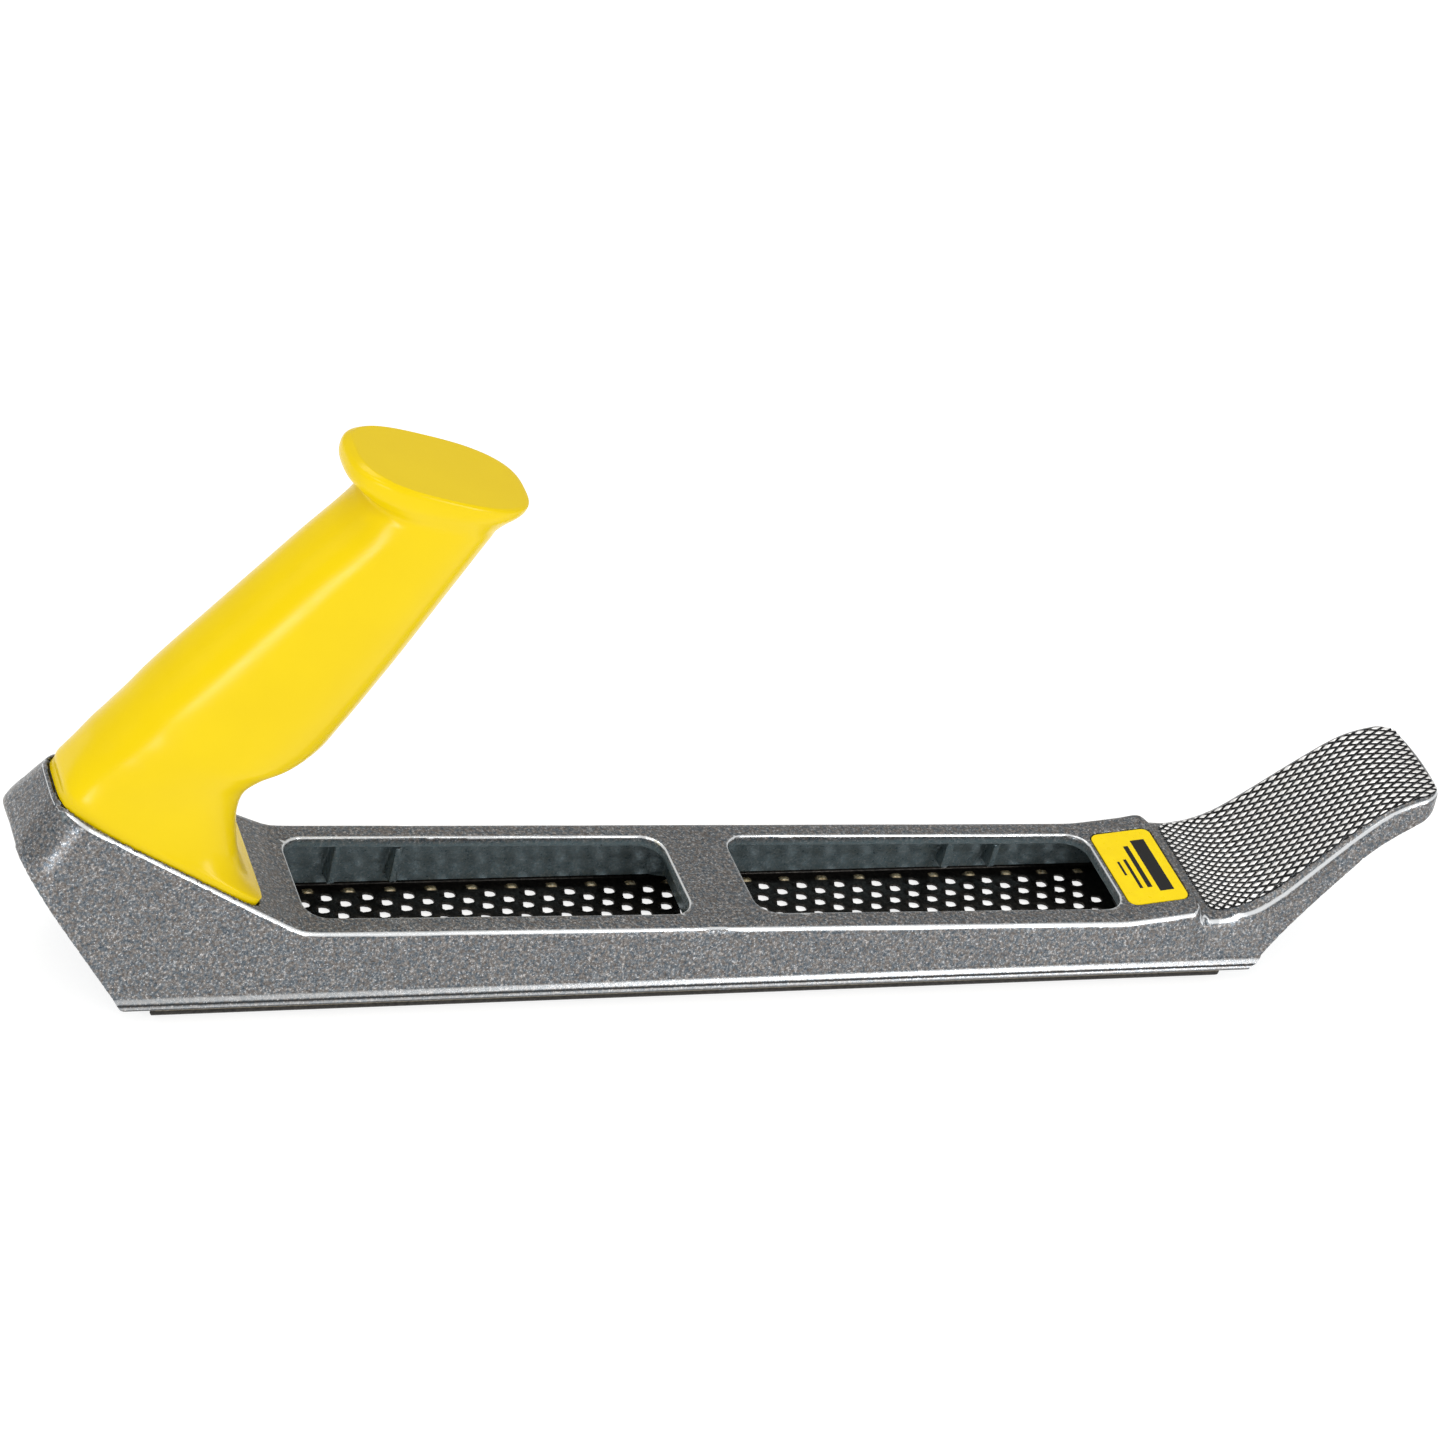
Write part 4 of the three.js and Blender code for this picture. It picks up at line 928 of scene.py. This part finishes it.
# The label's black bars: from and to along the blade, and from and to across it.
BARS = ((1.4, 4.9, -9.2, 9.2), (-1.0, 0.2, -7.5, 7.5), (-2.9, -2.1, -7.5, 3.0), (-4.6, -4.0, -2.5, 2.5))


def label_paint():
    """Yellow film with plain black bars, and a faint print grain."""
    p = Paint("printed_film", (0.93, 0.68, 0.0), 0.3)
    p.shader.inputs["Specular IOR Level"].default_value = 0.25
    split = p.node("ShaderNodeSeparateXYZ")
    p.wire(p.attribute("print_mm", "Vector"), split.inputs[0])

    def between(source, low, high):
        off = p.math("ABSOLUTE", p.math("SUBTRACT", source, (low + high) / 2))
        return p.math("LESS_THAN", off, (high - low) / 2)

    ink = 0.0
    for low_u, high_u, low_v, high_v in BARS:
        in_length = between(split.outputs[0], low_u, high_u)
        in_width = between(split.outputs[1], low_v, high_v)
        ink = p.math("MAXIMUM", ink, p.math("MULTIPLY", in_length, in_width))
    film = p.ramp(p.noise(3, 2, 0.5), [(0.3, (0.89, 0.65, 0.0)), (0.7, (0.93, 0.7, 0.0))])
    p.color(p.mix(ink, film, (0.012, 0.012, 0.012)))
    p.rough(p.grey(p.noise(2, 2, 0.5), [(0.3, 0.26), (0.7, 0.38)]))
    p.bump(p.noise(0.7, 2, 0.5), 0.01, 0.4)
    return p.material


def dress(piece, material, body, stands_for=()):
    piece.data.materials.clear()
    piece.data.materials.append(material)
    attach(piece, body)
    if stands_for:
        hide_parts(*stands_for)


# ---------------------------------------------------------------- pieces

CAST = cast_paint("grey_casting")
ZINC = zinc_paint()

casting = solid_object("casting", casting_field, (-31.5, 0, 3.0), (300, 24, 49), (0.45, 0.45, 0.45))
mark_casting(casting)
dress(casting, CAST, "body", ["body_casting"])
dress(make_beads(), CAST, "body")
dress(make_knurl(), cast_paint("knurled_casting", knurl=True), "body")

sheet = solid_object("toothed_sheet", blade_field, (-1, -21.6, -0.6), (251, 21.6, 5.6), (0.24, 0.24, 0.2),
                     symmetric=False)
mark_blade(sheet)
dress(sheet, blade_paint(), "body", ["blade"])

dress(make_handle(), handle_paint(), "body", ["handle"])
dress(make_label(), label_paint(), "body", ["label"])

# Two screws and washers, from under the deck up into the handle.
DECK_NORMAL = (DECK_SLOPE, 0, 1)
for end, at, bite in (("rear", HANDLE_SCREWS[0], 24), ("front", HANDLE_SCREWS[1], 11)):
    below = [on_deck(at, lift) for lift in (-BOSS_DEPTH - GAP - WASHER, -BOSS_DEPTH - 2 * GAP - WASHER)]
    washer_at, head_at = [(x, 0, z) for x, z in below]
    washer = make_washer(f"plain_washer_{end}", washer_at, DECK_NORMAL)
    screw = make_screw(f"wood_screw_{end}", head_at, DECK_NORMAL, BOSS_DEPTH + bite, WOOD_PITCH, WOOD_THREAD)
    dress(washer, ZINC, "body", [f"handle_washer_{end}"])
    dress(screw, ZINC, "body", [f"handle_screw_{end}"])

# The blade's tensioner: a screw through the toe web, held by a clip, that draws the nut.
washer_x = TOE_WEB[1] + GAP
seat_x = washer_x + WASHER + GAP
clip_x = TOE_WEB[0] - GAP - CLIP
ALONG = (1, 0, 0)
draw_length = seat_x - DRAW_SCREW_END
washer = make_washer("toe_washer", (washer_x, 0, SCREW_Z), ALONG)
screw = make_screw("draw_screw", (seat_x, 0, SCREW_Z), (-1, 0, 0), draw_length, SCREW_PITCH, SCREW_THREAD)
clip = make_ring("retaining_clip", SHANK_RADIUS + 0.15, CLIP_RADIUS, CLIP, (clip_x, 0, SCREW_Z), ALONG, 60)
clamp = solid_object("draw_nut", clamp_field, (236.5, 0, -0.2), (245.4, 9.8, 13.2), (0.25, 0.25, 0.25))
dress(washer, ZINC, "body", ["tension_washer"])
dress(screw, ZINC, "tension_screw", ["tension_screw"])
dress(clip, ZINC, "tension_screw", ["screw_clip"])
dress(clamp, ZINC, "blade_clamp", ["blade_clamp"])

# ---------------------------------------------------------------- floor, light and camera

FLOOR_HALF = 3.0
MIDDLE = (cad_low + cad_high) / 2


def make_floor():
    corners = [(-1, -1), (1, -1), (1, 1), (-1, 1)]
    mesh = bpy.data.meshes.new("floor")
    mesh.from_pydata([(x * FLOOR_HALF, y * FLOOR_HALF, 0) for x, y in corners], [], [(0, 1, 2, 3)])
    floor = link("floor", mesh, False)
    paint = Paint("pale_floor", (0.35, 0.35, 0.35), 0.8)
    paint.shader.inputs["Emission Color"].default_value = (1, 1, 1, 1)
    paint.shader.inputs["Emission Strength"].default_value = 0.8
    floor.data.materials.append(paint.material)


def direction(azimuth, elevation):
    a, e = math.radians(azimuth), math.radians(elevation)
    return Vector((math.sin(a) * math.cos(e), -math.cos(a) * math.cos(e), math.sin(e)))


def softbox(name, azimuth, elevation, size, power, color=(1, 1, 1), distance=1.2):
    away = direction(azimuth, elevation)
    lamp = bpy.data.lights.new(name, "AREA")
    lamp.shape, lamp.size, lamp.size_y = "RECTANGLE", size[0], size[1]
    lamp.energy, lamp.color = power, color
    made = bpy.data.objects.new(name, lamp)
    bpy.context.scene.collection.objects.link(made)
    made.location = MIDDLE + away * distance
    made.rotation_mode = "QUATERNION"
    made.rotation_quaternion = (-away).to_track_quat("-Z", "Y")
    return made


make_floor()
softbox("key_light", -42, 54, (0.5, 0.4), 2.1, (1.0, 0.98, 0.95))
softbox("edge_light", 33, 23, (0.16, 0.8), 4.6)
softbox("low_light", -33, 6, (0.42, 0.11), 2.8, (0.97, 0.98, 1.0))
softbox("top_light", -150, 72, (0.6, 0.6), 4.2, (1.0, 0.98, 0.94))
softbox("fill_light", -88, 34, (0.7, 0.7), 2.2).visible_glossy = False

world = bpy.data.worlds.new("studio")
bpy.context.scene.world = world
world.use_nodes = True
sky = world.node_tree.nodes["Background"]
sky.inputs["Color"].default_value = (1.0, 0.985, 0.96, 1)
sky.inputs["Strength"].default_value = 0.54

CAMERA_AZIMUTH, CAMERA_ELEVATION, CAMERA_ROLL = -26.80, 33.72, 15.08
CAMERA_DISTANCE, CAMERA_LENS, CAMERA_SENSOR = 0.8408, 98.77, 36
AIM = Vector(place((119.8, 0.0, 59.96)))


def make_camera():
    away = direction(CAMERA_AZIMUTH, CAMERA_ELEVATION)
    camera = bpy.data.objects.new("camera", bpy.data.cameras.new("camera"))
    bpy.context.scene.collection.objects.link(camera)
    camera.data.sensor_width = CAMERA_SENSOR
    camera.data.lens = CAMERA_LENS
    camera.data.clip_start, camera.data.clip_end = 0.01, 20
    camera.location = AIM + away * CAMERA_DISTANCE
    camera.rotation_mode = "QUATERNION"
    roll = Quaternion((0, 0, 1), math.radians(CAMERA_ROLL))
    camera.rotation_quaternion = (-away).to_track_quat("-Z", "Y") @ roll
    bpy.context.scene.camera = camera


make_camera()
bpy.context.scene.view_settings.view_transform = "Standard"
